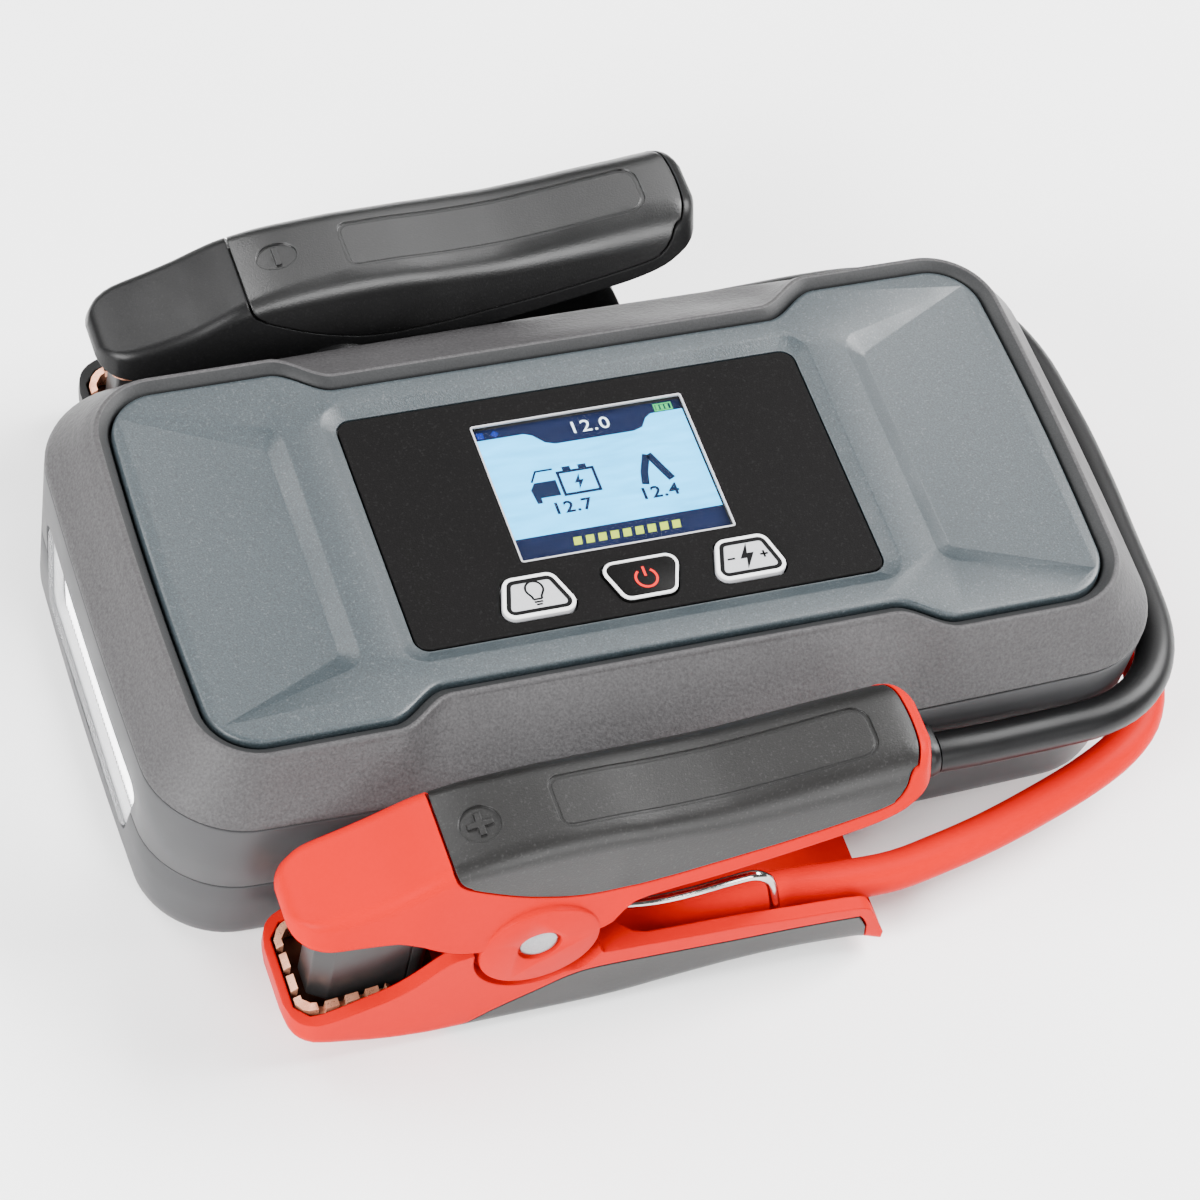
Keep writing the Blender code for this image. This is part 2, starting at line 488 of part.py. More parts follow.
def low_loft(yc, inset=0.0, rise=0.0, x_from=-100.0, seg=3):
    return loft([low_section(x, yc, w, zb, zt, r, inset, rise, seg) for x, w, zb, zt, r in LOW if x > x_from])


def tray(yc, stations, seg=2):
    return loft([low_section(x, yc, w, zb, zt, r, seg=seg) for x, w, zb, zt, r in stations])


def hood(yc, stations, seg=2):
    return loft([up_section(x, yc, w, wt, zb, zt, r, seg=seg) for x, w, wt, zb, zt, r in stations])


# side outlines (x, z) of the two grips
UP_GRIP = [(-46.6, 60), (-46.6, 42.4), (-45.9, 41.0), (-44.2, 39.5), (-40.0, 37.5), (-36.5, 36.0), (-33.0, 34.8), (-28.0, 33.5), (-24.0, 33.0), (-20.0, 33.1),
           (-17.2, 33.8), (-10.5, 34.8), (-4.6, 35.8), (-0.6, 36.5), (7.8, 38.2), (16.6, 40.3), (22.4, 42.0), (24.6, 43.4), (25.8, 45.4), (27.0, 48.0), (31.0, 49.0), (32.0, 60)]
# plan outline (x, distance from the centre plane) of the upper grip's rounded rear end
UP_GRIP_END = [(-60, 14), (25.4, 14), (25.4, 11.2), (26.5, 9.8), (27.8, 7.6), (28.7, 4.6), (29.1, 0.0)]
LOW_GRIP = [(-43.5, 0.9), (-37.0, 5.4), (-29.0, 9.5), (-24.7, 11.7), (-20.2, 12.6), (-10.8, 12.5), (4.1, 12.1), (13.3, 12.0), (23.7, 11.5), (25.2, 11.0), (26.7, 8.2), (28.6, -5), (-43.5, -5)]


def end_outline(yc, shrink):
    half = [(x - (shrink if x > 0 else 0.0), w) for x, w in UP_GRIP_END]
    return [(x, yc - w) for x, w in half] + [(x, yc + w) for x, w in reversed(half[:-1])]


def lead_points(sign):
    """Route of a lead from its outlet round the right end and back into its clamp.
    sign -1 leaves the front wall (black lead), +1 leaves the rear wall (red lead)."""
    if sign < 0:
        pts = [(41.8, -48.1, 25.0), (45.0, -48.1, 24.95), (50, -48.0, 24.7), (57, -47.65, 24.4), (64, -47.3, 24.2), (71, -46.9, 24.2), (77, -45.4, 24.4), (82.0, -42.2, 24.6),
               (85.45, -37.8, 24.6), (87.7, -32.0, 24.3), (88.7, -25.0, 23.9), (89.5, -14.0, 23.3), (90.3, -2.0, 22.9), (90.6, 9.0, 22.5), (90.3, 18.5, 22.2), (89.8, 26.0, 21.9), (88.2, 32.8, 21.6),
               (85.6, 39.4, 20.9), (81.2, 45.6, 19.6), (75.2, 50.8, 17.6), (68.0, 54.4, 15.2), (60, 56.6, 12.7), (51, 57.8, 10.7), (42, 58.2, 9.7), (34, 58.0, 9.4), (25, 57.6, 9.5), (15, 57.2, 9.8), (5, 57.2, 9.4), (-4, 57.2, 8.4), (-11.0, 57.2, 7.5), (-16.0, 57.2, 7.2)]
    else:
        pts = [(41.8, 48.0, 11.0), (45.5, 48.0, 11.0), (54, 48.0, 11.1), (62, 47.8, 11.2), (69, 47.3, 11.4), (75.0, 46.0, 11.6), (80.6, 43.4, 11.8),
               (84.8, 39.4, 12.0), (87.2, 34.0, 12.0), (88.2, 27.0, 12.0), (89.0, 14.0, 12.4), (89.4, 0.0, 13.0), (89.4, -14.0, 13.5), (88.8, -27.0, 13.8), (87.4, -36.2, 13.9),
               (83.8, -42.8, 13.9), (78.0, -47.4, 13.6), (70.4, -50.8, 12.9), (61.3, -53.6, 11.8), (51.5, -56.0, 10.5), (42, -57.8, 9.8), (34, -59.0, 9.5), (25, -59.0, 9.6), (15, -58.7, 9.9), (5, -58.6, 9.4), (-4, -58.2, 8.4), (-11.0, -57.8, 7.5), (-16.0, -57.8, 7.2)]
    return [Vector(p) for p in pts]


def smooth_route(pts, spacing):
    """Catmull-Rom curve through the route's points, sampled at even steps."""
    dense = []
    p = [pts[0] * 2 - pts[1]] + list(pts) + [pts[-1] * 2 - pts[-2]]
    for i in range(1, len(p) - 2):
        for k in range(12):
            t = k / 12.0
            a, b, c, d = p[i - 1], p[i], p[i + 1], p[i + 2]
            dense.append(0.5 * ((2 * b) + (c - a) * t + (2 * a - 5 * b + 4 * c - d) * t * t + (3 * b - a - 3 * c + d) * t ** 3))
    dense.append(pts[-1])
    length = sum((dense[i + 1] - dense[i]).length for i in range(len(dense) - 1))
    n = max(int(round(length / spacing)), 4)
    out, acc, j = [dense[0]], 0.0, 0
    for k in range(1, n):
        want = length * k / n
        while acc + (dense[j + 1] - dense[j]).length < want:
            acc += (dense[j + 1] - dense[j]).length
            j += 1
        seg = (dense[j + 1] - dense[j]).length
        out.append(dense[j].lerp(dense[j + 1], (want - acc) / seg))
    out.append(dense[-1])
    return out


def tube(name, pts, radius, res, mat):
    cu = bpy.data.curves.new(name, "CURVE")
    cu.dimensions = "3D"
    cu.bevel_depth = radius * MM
    cu.bevel_resolution = res
    cu.use_fill_caps = True
    cu.render_resolution_u = 0
    sp = cu.splines.new("POLY")
    sp.points.add(len(pts) - 1)
    for q, p in zip(sp.points, pts):
        q.co = (p[0] * MM, p[1] * MM, p[2] * MM, 1.0)
    sp.use_smooth = True
    cu.materials.append(mat)
    ob = bpy.data.objects.new(name, cu)
    COL.objects.link(ob)
    return ob


def build_clamp(pre, sgn, shell_rgb, lead_y):
    yc = sgn * CLAMP_Y
    pivot = (PIV_X, yc, PIV_Z)
    hinge = bpy.data.objects.new(pre + "_hinge_axis", None)
    hinge.location = (PIV_X * MM, yc * MM, PIV_Z * MM)
    COL.objects.link(hinge)

    def moving(ob):
        ob.parent = hinge
        ob.location = (0, 0, 0)

    # upper half: hood, handle cover and the two round ears
    up_core = cutter(pre + "_up_core", up_loft(yc, GRIP_T + GAP, 6.0, -60))
    up_zone = cutter(pre + "_up_zone", prism(UP_GRIP, yc - 14, yc + 14, "xz"))
    boolean(up_zone, cutter(pre + "_up_end", prism(end_outline(yc, 0.0), 20, 70, "xy")), "INTERSECT")
    boolean(up_zone, up_core)
    upper = piece(pre + "_upper_half", up_loft(yc), shell_rgb, 0.4, origin=pivot, smooth=35)
    boolean(upper, cutter(pre + "_ear_disc", cylinder("y", (PIV_X, PIV_Z), BOSS_R, yc - CL_HW, yc + CL_HW, 28)), "UNION")
    # hollow from below: nose, pivot bay and handle
    hollow = [(-68.5, 4.0, 2.2, 8, 31.2, 0.6), (-67.4, 5.9, 3.9, 8, 31.8, 0.8), (-65.6, 7.1, 5.0, 8, 32.5, 1.0), (-63.0, 7.6, 5.5, 8, 33.3, 1.1), (-60, 8.0, 5.9, 8, 34.2, 1.2), (-55, 8.5, 6.1, 8, 36.3, 1.4),
              (-48, 8.8, 6.2, 8, 39.9, 1.4), (-41, 8.8, 6.2, 8, 41.4, 1.6), (-28, 8.8, 6.2, 8, 42.8, 1.6), (-12, 8.8, 6.2, 8, 42.8, 1.6), (5, 8.8, 6.3, 8, 44.0, 1.6),
              (20.0, 8.6, 5.9, 8, 45.9, 1.6), (25.0, 8.2, 5.3, 8, 46.4, 1.6), (27.0, 7.4, 4.8, 8, 46.6, 1.4), (28.8, 5.8, 3.8, 8, 46.8, 1.0)]
    rings = []
    for x, w, wt, zb, zt, r in hollow:
        # upright up to the shell's edge, then leaning with the outer wall
        sec = up_section(x, yc, w, wt, 30.0, zt, r, seg=2)
        rings.append([(x, yc - w, zb), (x, yc + w, zb)] + sec[1:] + [sec[0]])
    boolean(upper, cutter(pre + "_up_hollow", loft(rings)))
    boolean(upper, up_zone)
    boolean(upper, cutter(pre + "_up_bore", cylinder("y", (PIV_X, PIV_Z), RIVET_R + 0.35, yc - 13, yc + 13, 16)))
    for s in (-1, 1):
        boolean(upper, cutter(pre + "_up_sink%d" % (s + 1), cylinder("y", (PIV_X, PIV_Z), 3.7, *sorted((yc + s * 10.2, yc + s * 13)), 16)))
    moving(upper)

    # soft grip over the handle
    grip = piece(pre + "_upper_grip", up_loft(yc, x_from=-50), CHARCOAL, 0.65, origin=pivot, smooth=35)
    zone_in = []
    for x, z in UP_GRIP:
        zone_in.append((x + (0.35 if x < -44 else (-0.35 if x > 24 else 0.0)), z if z > 59 else z + 0.36))
    boolean(grip, cutter(pre + "_grip_zone", prism(zone_in, yc - 14, yc + 14, "xz")), "INTERSECT")
    boolean(grip, cutter(pre + "_grip_end", prism(end_outline(yc, 0.4), 20, 70, "xy")), "INTERSECT")
    boolean(grip, cutter(pre + "_grip_core", up_loft(yc, GRIP_T, 6.0, -60)))
    moving(grip)

    # lower half: boat-shaped jaw, inner ears and open-topped handle
    lz = cutter(pre + "_low_zone", prism(LOW_GRIP, yc - 14, yc + 14, "xz"))
    boolean(lz, cutter(pre + "_low_core", low_loft(yc, GRIP_T + GAP, 8.0)))
    lower = piece(pre + "_lower_half", low_loft(yc), shell_rgb, 0.4, smooth=35)
    boolean(lower, cutter(pre + "_jaw_cavity", tray(yc, [(-67.9, 6.4, 8.2, 40, 0.8), (-66.7, 8.5, 7.4, 40, 1.0), (-63.6, 9.0, 6.4, 40, 1.0), (-58, 8.8, 5.4, 40, 1.0), (-47.5, 8.6, 5.0, 40, 1.0), (-42.5, 8.6, 5.0, 40, 1.0)])))
    boolean(lower, cutter(pre + "_pivot_bay", tray(yc, [(-42.6, 5.8, 5.0, 40, 1.0), (-18.4, 5.8, 3.2, 40, 1.0), (-15.4, 5.8, 3.2, 40, 1.0)])))
    boolean(lower, cutter(pre + "_handle_bay", tray(yc, [(-15.8, 5.9, 3.4, 40, 1.0), (-12.6, 8.6, 3.6, 40, 1.4), (-8, 8.6, 4.2, 40, 1.4), (-2, 8.6, 5.0, 40, 1.4), (4.0, 8.6, 5.6, 40, 1.4), (12.0, 8.6, 6.0, 40, 1.4), (25.6, 8.6, 5.6, 40, 1.4), (33.0, 8.6, 5.4, 40, 1.4)])))
    key = [(-42.4, 40)]
    for k in range(0, 11):
        a = math.radians(170 + 16 * k)
        r = BOSS_R + 0.9 if k < 9 else 12.3
        key.append((PIV_X + r * math.cos(a), PIV_Z + r * math.sin(a)))
    key += [(PIV_X + 12.6, PIV_Z - 1.6), (PIV_X + 14.0, PIV_Z + 1.5), (PIV_X + 16.5, 40)]
    for s in (-1, 1):
        boolean(lower, cutter(pre + "_ear_clear%d" % (s + 1), prism(key, *sorted((yc + s * 8.45, yc + s * 12)), "xz")))
    boolean(lower, lz)
    boolean(lower, cutter(pre + "_low_bore", cylinder("y", (PIV_X, PIV_Z), RIVET_R + 0.35, yc - 13, yc + 13, 16)))

    lgrip = piece(pre + "_lower_grip", low_loft(yc, x_from=-50), CHARCOAL, 0.65, smooth=35)
    low_in = []
    for x, z in LOW_GRIP:
        low_in.append((x + (0.5 if x < -43 else (-0.3 if x > 25 else 0.0)), z if z < 0 else z - 0.32))
    boolean(lgrip, cutter(pre + "_lgrip_zone", prism(low_in, yc - 14, yc + 14, "xz")), "INTERSECT")
    boolean(lgrip, cutter(pre + "_lgrip_core", low_loft(yc, GRIP_T, 8.0)))

    # copper jaw plates: shallow toothed trays that close on the dock post
    lj = piece(pre + "_lower_jaw", tray(yc, [(-67.5, 5.9, 8.9, 10.6, 0.6), (-66.3, 7.9, 8.1, 10.9, 0.8), (-63.4, 8.6, 7.0, 11.1, 0.8), (-58, 8.4, 6.0, 11.2, 0.8), (-50.5, 8.2, 5.5, 11.2, 0.8), (-43.2, 8.2, 5.5, 8.4, 0.8)]), COPPER, 0.3, 1.0)
    boolean(lj, cutter(pre + "_lj_bay", tray(yc, [(-66.4, 5.6, 9.6, 30, 0.4), (-65.5, 6.8, 9.0, 30, 0.4), (-63.2, 7.3, 8.1, 30, 0.4), (-58, 7.2, 7.1, 30, 0.4), (-50.5, 7.1, 6.7, 30, 0.4), (-40.0, 7.1, 6.7, 30, 0.4)])))
    uj = piece(pre + "_upper_jaw", hood(yc, [(-68.1, 3.5, 2.3, 26.3, 30.5, 0.6), (-66.9, 5.3, 3.8, 26.2, 31.2, 0.6), (-65.2, 6.5, 4.6, 26.1, 31.8, 0.8), (-62.6, 7.1, 5.1, 26.1, 32.7, 0.8), (-60, 7.5, 5.4, 26.2, 33.6, 0.8), (-54.5, 7.9, 5.6, 26.8, 35.8, 0.8), (-47.5, 8.2, 5.7, 29.6, 39.2, 0.8)]), COPPER, 0.3, 1.0, origin=pivot)
    boolean(uj, cutter(pre + "_uj_bay", hood(yc, [(-66.9, 3.1, 1.8, 10, 29.4, 0.4), (-65.8, 4.6, 3.0, 10, 30.0, 0.4), (-64.2, 5.5, 3.6, 10, 30.6, 0.4), (-60, 6.4, 4.2, 10, 32.4, 0.4), (-54.5, 6.7, 4.4, 10, 34.6, 0.4), (-44, 6.9, 4.6, 10, 39.4, 0.4)])))
    moving(uj)

    piece(pre + "_pivot_rivet", turned("y", (PIV_X, PIV_Z), [(yc - 11.2, 2.0), (yc - 10.8, 3.1), (yc - 10.45, 3.1), (yc - 10.45, RIVET_R), (yc + 10.45, RIVET_R), (yc + 10.45, 3.1), (yc + 10.8, 3.1), (yc + 11.2, 2.0)], 14), STEEL, 0.25, 1.0, smooth=30)

    # torsion spring: coil round the rivet, one leg under each handle
    cr, turns = 4.3, 2.5
    pts = [Vector(p) for p in ((11.8, yc - 7.5, 7.4), (11.2, yc - 7.5, 12.0), (9.8, yc - 7.5, 18.0), (7.6, yc - 7.5, 23.0), (5.0, yc - 7.5, 25.0), (1.6, yc - 7.4, 24.6), (-4.2, yc - 7.0, 22.8), (-10.0, yc - 6.4, 21.4), (-15.4, yc - 5.2, 20.2), (-21.0, yc - 3.7, 19.2), (-25.6, yc - 3.2, 18.5))]
    for k in range(int(turns * 8) + 1):
        a = math.radians(-76) - 2 * math.pi * k / 8.0
        pts.append(Vector((PIV_X + cr * math.cos(a), yc - 3.0 + 6.0 * k / (turns * 8), PIV_Z + cr * math.sin(a))))
    pts += [Vector(p) for p in ((-25.6, yc + 3.4, 28.6), (-20.5, yc + 4.2, 31.2), (-13.0, yc + 5.2, 34.6), (-4.0, yc + 5.4, 38.0), (6.0, yc + 5.4, 41.0), (13.0, yc + 5.4, 42.6))]
    tube(pre + "_spring", pts, 0.85, 1, material(pre + "_spring", STEEL, 0.2, 1.0))

    # crimp that joins the lead to the jaw plate
    piece(pre + "_lead_crimp", turned("x", (lead_y, 7.2), [(-24.0, 1.9), (-23.4, 2.9), (-17.5, 2.9), (-16.9, 2.2)], 12), COPPER, 0.35, 1.0, smooth=30)


build_clamp("positive", -1, RED, -57.8)
build_clamp("negative", 1, (0.045, 0.045, 0.047), 57.2)

# the rear clamp's lead leaves the front wall, the front clamp's lead leaves the rear wall
tube("negative_lead", smooth_route(lead_points(-1), 6.4), LEAD_D / 2, 2, material("negative_lead", (0.03, 0.03, 0.032), 0.4))
tube("positive_lead", smooth_route(lead_points(1), 6.4), LEAD_D / 2, 2, material("positive_lead", (0.78, 0.05, 0.03), 0.4))
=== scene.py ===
# Looks for the jump starter pack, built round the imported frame. Metres in the frame;
# the helpers below take millimetres and turn them into metres.
import math

import bpy
from mathutils import Matrix, Vector


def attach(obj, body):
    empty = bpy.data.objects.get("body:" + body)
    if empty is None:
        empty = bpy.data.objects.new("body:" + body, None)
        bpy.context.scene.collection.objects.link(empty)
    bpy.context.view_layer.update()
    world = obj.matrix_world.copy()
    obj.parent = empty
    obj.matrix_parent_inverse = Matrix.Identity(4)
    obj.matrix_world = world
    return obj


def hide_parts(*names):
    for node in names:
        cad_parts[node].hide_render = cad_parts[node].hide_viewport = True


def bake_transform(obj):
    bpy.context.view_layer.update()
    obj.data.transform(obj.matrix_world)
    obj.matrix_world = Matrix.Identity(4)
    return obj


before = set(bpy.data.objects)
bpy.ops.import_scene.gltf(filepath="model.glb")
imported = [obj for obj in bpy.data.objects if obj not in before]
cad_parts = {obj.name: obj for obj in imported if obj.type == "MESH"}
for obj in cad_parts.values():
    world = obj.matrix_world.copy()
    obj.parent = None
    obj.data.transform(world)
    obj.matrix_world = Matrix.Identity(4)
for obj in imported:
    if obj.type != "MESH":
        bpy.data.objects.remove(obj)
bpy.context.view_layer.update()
MM = 0.001
COL = bpy.context.scene.collection

# ---- camera -------------------------------------------------------------------
cam_data = bpy.data.cameras.new("camera")
cam = bpy.data.objects.new("camera", cam_data)
COL.objects.link(cam)
az, el, roll = math.radians(-30.512), math.radians(52.356), math.radians(-14.938)
back = Vector((math.sin(az) * math.cos(el), -math.cos(az) * math.cos(el), math.sin(el)))
right = Vector((math.cos(az), math.sin(az), 0))
up = back.cross(right)
eye = (right * 2.484 + up * 7.615 + back * 749.795 + Vector((0, 0, 2.5))) * MM
ax = right * math.cos(roll) - up * math.sin(roll)
ay = right * math.sin(roll) + up * math.cos(roll)
rot = Matrix((ax, ay, back)).transposed().to_4x4()
cam.matrix_world = Matrix.Translation(eye) @ rot
cam_data.lens, cam_data.sensor_width = 135.0, 36.0
cam_data.clip_start, cam_data.clip_end = 0.05, 20.0
bpy.context.scene.camera = cam


# ---- materials ----------------------------------------------------------------
def nodes_of(name):
    m = bpy.data.materials.new(name)
    m.use_nodes = True
    nt = m.node_tree
    return m, nt, nt.nodes["Principled BSDF"]


def link(nt, a, b):
    nt.links.new(a, b)


def noise(nt, co, scale, detail=2.0, rough=0.5):
    n = nt.nodes.new("ShaderNodeTexNoise")
    n.inputs["Scale"].default_value = scale
    n.inputs["Detail"].default_value = detail
    n.inputs["Roughness"].default_value = rough
    link(nt, co, n.inputs["Vector"])
    return n


def ramp(nt, fac, stops):
    r = nt.nodes.new("ShaderNodeValToRGB")
    els = r.color_ramp.elements
    while len(els) < len(stops):
        els.new(0.5)
    for e, (p, c) in zip(els, stops):
        e.position = p
        e.color = (*c, 1.0) if len(c) == 3 else c
    link(nt, fac, r.inputs["Fac"])
    return r


def span(nt, val, a, b, lo, hi):
    r = nt.nodes.new("ShaderNodeMapRange")
    r.inputs["From Min"].default_value = a
    r.inputs["From Max"].default_value = b
    r.inputs["To Min"].default_value = lo
    r.inputs["To Max"].default_value = hi
    link(nt, val, r.inputs["Value"])
    return r


def shade(rgb, k):
    return tuple(min(max(c * k, 0.0), 1.0) for c in rgb)


def moulded(name, rgb, rough=0.5, grain=3000.0, vary=0.12, bump=0.25, depth=0.04, cloud=0.06, metal=0.0,
            spec=0.5, edge=0.3, sparkle=0.0, rough_var=0.08, coat=0.0, alpha=1.0, second=0.0):
    """Moulded plastic: a fine grain in colour and height, slow clouds of tone, softened edges and a roughness that wanders."""
    m, nt, b = nodes_of(name)
    tc = nt.nodes.new("ShaderNodeTexCoord")
    co = tc.outputs["Object"]
    fine = noise(nt, co, grain, 2.0, 0.6)
    slow = noise(nt, co, 55.0, 3.0, 0.55)
    mix = nt.nodes.new("ShaderNodeMath")
    mix.operation = "MULTIPLY_ADD"
    s1 = span(nt, fine.outputs["Fac"], 0.25, 0.75, -vary, vary)
    s2 = span(nt, slow.outputs["Fac"], 0.3, 0.7, 1.0 - cloud, 1.0 + cloud)
    link(nt, s1.outputs["Result"], mix.inputs[0])
    mix.inputs[1].default_value = 1.0
    link(nt, s2.outputs["Result"], mix.inputs[2])
    col = ramp(nt, span(nt, mix.outputs["Value"], 0.5, 1.5, 0.0, 1.0).outputs["Result"], [(0.0, shade(rgb, 0.5)), (1.0, shade(rgb, 1.5))])
    out = col.outputs["Color"]
    if sparkle > 0:
        # scattered lighter specks
        sp = noise(nt, co, grain * 0.75, 1.0, 0.4)
        mask = span(nt, sp.outputs["Fac"], 0.62, 0.72, 0.0, sparkle)
        mx = nt.nodes.new("ShaderNodeMix")
        mx.data_type = "RGBA"
        link(nt, mask.outputs["Result"], mx.inputs["Factor"])
        link(nt, out, mx.inputs[6])
        mx.inputs[7].default_value = (*shade(tuple(min(c + 0.25, 1.0) for c in rgb), 1.3), 1.0)
        out = mx.outputs[2]
    link(nt, out, b.inputs["Base Color"])
    rv = span(nt, slow.outputs["Fac"], 0.3, 0.7, rough - rough_var, rough + rough_var)
    link(nt, rv.outputs["Result"], b.inputs["Roughness"])
    bp = nt.nodes.new("ShaderNodeBump")
    bp.inputs["Strength"].default_value = bump
    bp.inputs["Distance"].default_value = depth * MM
    link(nt, fine.outputs["Fac"], bp.inputs["Height"])
    last = bp
    if second > 0:
        # a coarser skin over the fine grain, as in a leather-like mould texture
        vo = nt.nodes.new("ShaderNodeTexVoronoi")
        vo.inputs["Scale"].default_value = grain * 0.45
        link(nt, co, vo.inputs["Vector"])
        b2 = nt.nodes.new("ShaderNodeBump")
        b2.inputs["Strength"].default_value = second
        b2.inputs["Distance"].default_value = depth * 1.4 * MM
        link(nt, vo.outputs["Distance"], b2.inputs["Height"])
        link(nt, b2.outputs["Normal"], bp.inputs["Normal"])
        last_in = b2
    else:
        last_in = bp
    if edge > 0:
        bv = nt.nodes.new("ShaderNodeBevel")
        bv.samples = 4
        bv.inputs["Radius"].default_value = edge * MM
        link(nt, bv.outputs["Normal"], last_in.inputs["Normal"])
    link(nt, last.outputs["Normal"], b.inputs["Normal"])
    b.inputs["Metallic"].default_value = metal
    b.inputs["Specular IOR Level"].default_value = spec
    b.inputs["Coat Weight"].default_value = coat
    b.inputs["Coat Roughness"].default_value = 0.25
    b.inputs["Alpha"].default_value = alpha
    return m


def metal_mat(name, rgb, rough=0.25, scale=1800.0, stretch=(1, 1, 1), vary=0.12, bump=0.15, tarnish_and_shade=None, edge=0.12, metal=1.0):
    """Bare metal with fine scratches and a slow change of tone."""
    m, nt, b = nodes_of(name)
    tc = nt.nodes.new("ShaderNodeTexCoord")
    mp = nt.nodes.new("ShaderNodeMapping")
    mp.inputs["Scale"].default_value = stretch
    link(nt, tc.outputs["Object"], mp.inputs["Vector"])
    fine = noise(nt, mp.outputs["Vector"], scale, 3.0, 0.6)
    slow = noise(nt, tc.outputs["Object"], 160.0, 3.0, 0.6)
    dark = tarnish_and_shade if tarnish_and_shade else shade(rgb, 1 - 2 * vary)
    col = ramp(nt, slow.outputs["Fac"], [(0.3, dark), (0.62, rgb)])
    link(nt, col.outputs["Color"], b.inputs["Base Color"])
    rv = span(nt, fine.outputs["Fac"], 0.3, 0.7, max(rough - 0.08, 0.03), rough + 0.1)
    link(nt, rv.outputs["Result"], b.inputs["Roughness"])
    bp = nt.nodes.new("ShaderNodeBump")
    bp.inputs["Strength"].default_value = bump
    bp.inputs["Distance"].default_value = 0.02 * MM
    link(nt, fine.outputs["Fac"], bp.inputs["Height"])
    if edge > 0:
        bv = nt.nodes.new("ShaderNodeBevel")
        bv.samples = 4
        bv.inputs["Radius"].default_value = edge * MM
        link(nt, bv.outputs["Normal"], bp.inputs["Normal"])
    link(nt, bp.outputs["Normal"], b.inputs["Normal"])
    b.inputs["Metallic"].default_value = metal
    return m


M_SHOULDER = moulded("shoulder_plastic", (0.0430, 0.0415, 0.0427), 0.50, 2300, 0.30, 0.9, 0.07, 0.04, second=0.5, spec=0.17)
# painted shade: a darker copy of the shoulder colour for the lip band round the insert, standing in for the shadow in
# its steep groove
M_GROOVE_SHADE = moulded("shoulder_groove_painted_shade", (0.0165, 0.0170, 0.0176), 0.50, 3000, 0.2, 0.5, 0.05, 0.04, spec=0.2)
M_WALL = moulded("wall_plastic", (0.034, 0.034, 0.0355), 0.42, 5200, 0.04, 0.12, 0.03, 0.03, spec=0.2)
M_INSERT = moulded("insert_plastic", (0.0185, 0.0262, 0.0305), 0.43, 3500, 0.5, 0.7, 0.045, 0.02, sparkle=0.07, edge=0.2, spec=0.52)
M_OVERLAY = moulded("overlay_black", (0.0030, 0.0028, 0.0028), 0.45, 3800, 0.45, 0.5, 0.04, 0.1, sparkle=0.012, spec=0.05, edge=0.0)
M_GRIP = moulded("grip_rubber", (0.0034, 0.0031, 0.0029), 0.42, 3300, 0.5, 0.75, 0.045, 0.06, spec=0.36, sparkle=0.03, rough_var=0.04)
M_GRIP_B = moulded("grip_rubber_black", (0.0018, 0.0018, 0.0019), 0.36, 3300, 0.5, 0.75, 0.045, 0.06, spec=0.62, sparkle=0.012, rough_var=0.04)
M_RED = moulded("red_plastic", (0.43, 0.0008, 0.0005), 0.36, 1500, 0.02, 0.10, 0.03, 0.03, spec=0.025, edge=0.4)
M_BLACKC = moulded("black_clamp_plastic", (0.0058, 0.0058, 0.0060), 0.36, 3200, 0.3, 0.5, 0.04, 0.06, spec=0.14, edge=0.4, sparkle=0.01)
M_POST = moulded("post_plastic", (0.009, 0.0085, 0.0085), 0.36, 3600, 0.08, 0.2, 0.03, 0.06, edge=0.35, spec=0.4)
M_RUBBER = moulded("gland_rubber", (0.0046, 0.0046, 0.0050), 0.36, 3600, 0.12, 0.3, 0.04, 0.06, spec=0.2)
M_RED_LEAD = moulded("red_cable", (0.45, 0.0009, 0.0006), 0.38, 900, 0.02, 0.12, 0.04, 0.03, spec=0.03, edge=0.0)
M_BLACK_LEAD = moulded("black_cable", (0.0036, 0.0036, 0.0039), 0.40, 2600, 0.30, 0.35, 0.04, 0.06, spec=0.19, edge=0.0)
M_SILVER = moulded("silver_key", (0.36, 0.363, 0.378), 0.4, 2600, 0.05, 0.15, 0.02, 0.03, metal=0.15, edge=0.12)
M_WHITE = moulded("white_print", (0.75, 0.75, 0.745), 0.35, 2600, 0.03, 0.1, 0.02, 0.03, edge=0.15, spec=0.3)
M_BLACK_PRINT = moulded("black_print", (0.0028, 0.0028, 0.003), 0.5, 2600, 0.05, 0.1, 0.02, 0.03, edge=0.0, spec=0.06)
M_RED_PRINT = moulded("red_print", (0.50, 0.006, 0.004), 0.4, 2600, 0.05, 0.1, 0.02, 0.03, edge=0.0, spec=0.15)
M_STEEL = metal_mat("steel", (0.30, 0.30, 0.31), 0.3, 2200, (1, 1, 1))
M_CHROME = metal_mat("spring_wire", (0.58, 0.57, 0.55), 0.14, 2600, (1, 1, 1), edge=0.0, vary=0.2)
M_COPPER = metal_mat("copper", (0.62, 0.29, 0.18), 0.30, 1800, (1, 1, 1), tarnish_and_shade=(0.34, 0.13, 0.07), edge=0.1, metal=0.6)
# painted shade: near-black copper for the inside of the jaws, where shadow falls
M_COPPER_SHADE = metal_mat("copper_painted_shade", (0.10, 0.035, 0.018), 0.5, 1800, (1, 1, 1), tarnish_and_shade=(0.04, 0.015, 0.009), edge=0.0, metal=0.5)
M_PCB = moulded("circuit_board", (0.015, 0.10, 0.045), 0.35, 900, 0.1, 0.1, 0.03, 0.1)
M_LEDBOARD = moulded("led_board", (0.75, 0.74, 0.70), 0.4, 900, 0.05, 0.1, 0.03, 0.05)
M_CELL = metal_mat("cell", (0.55, 0.56, 0.58), 0.4, 700, bump=0.3)
M_BLACKP = moulded("black_plastic", (0.02, 0.02, 0.021), 0.5, 2600, 0.12, 0.3, 0.03, 0.08)


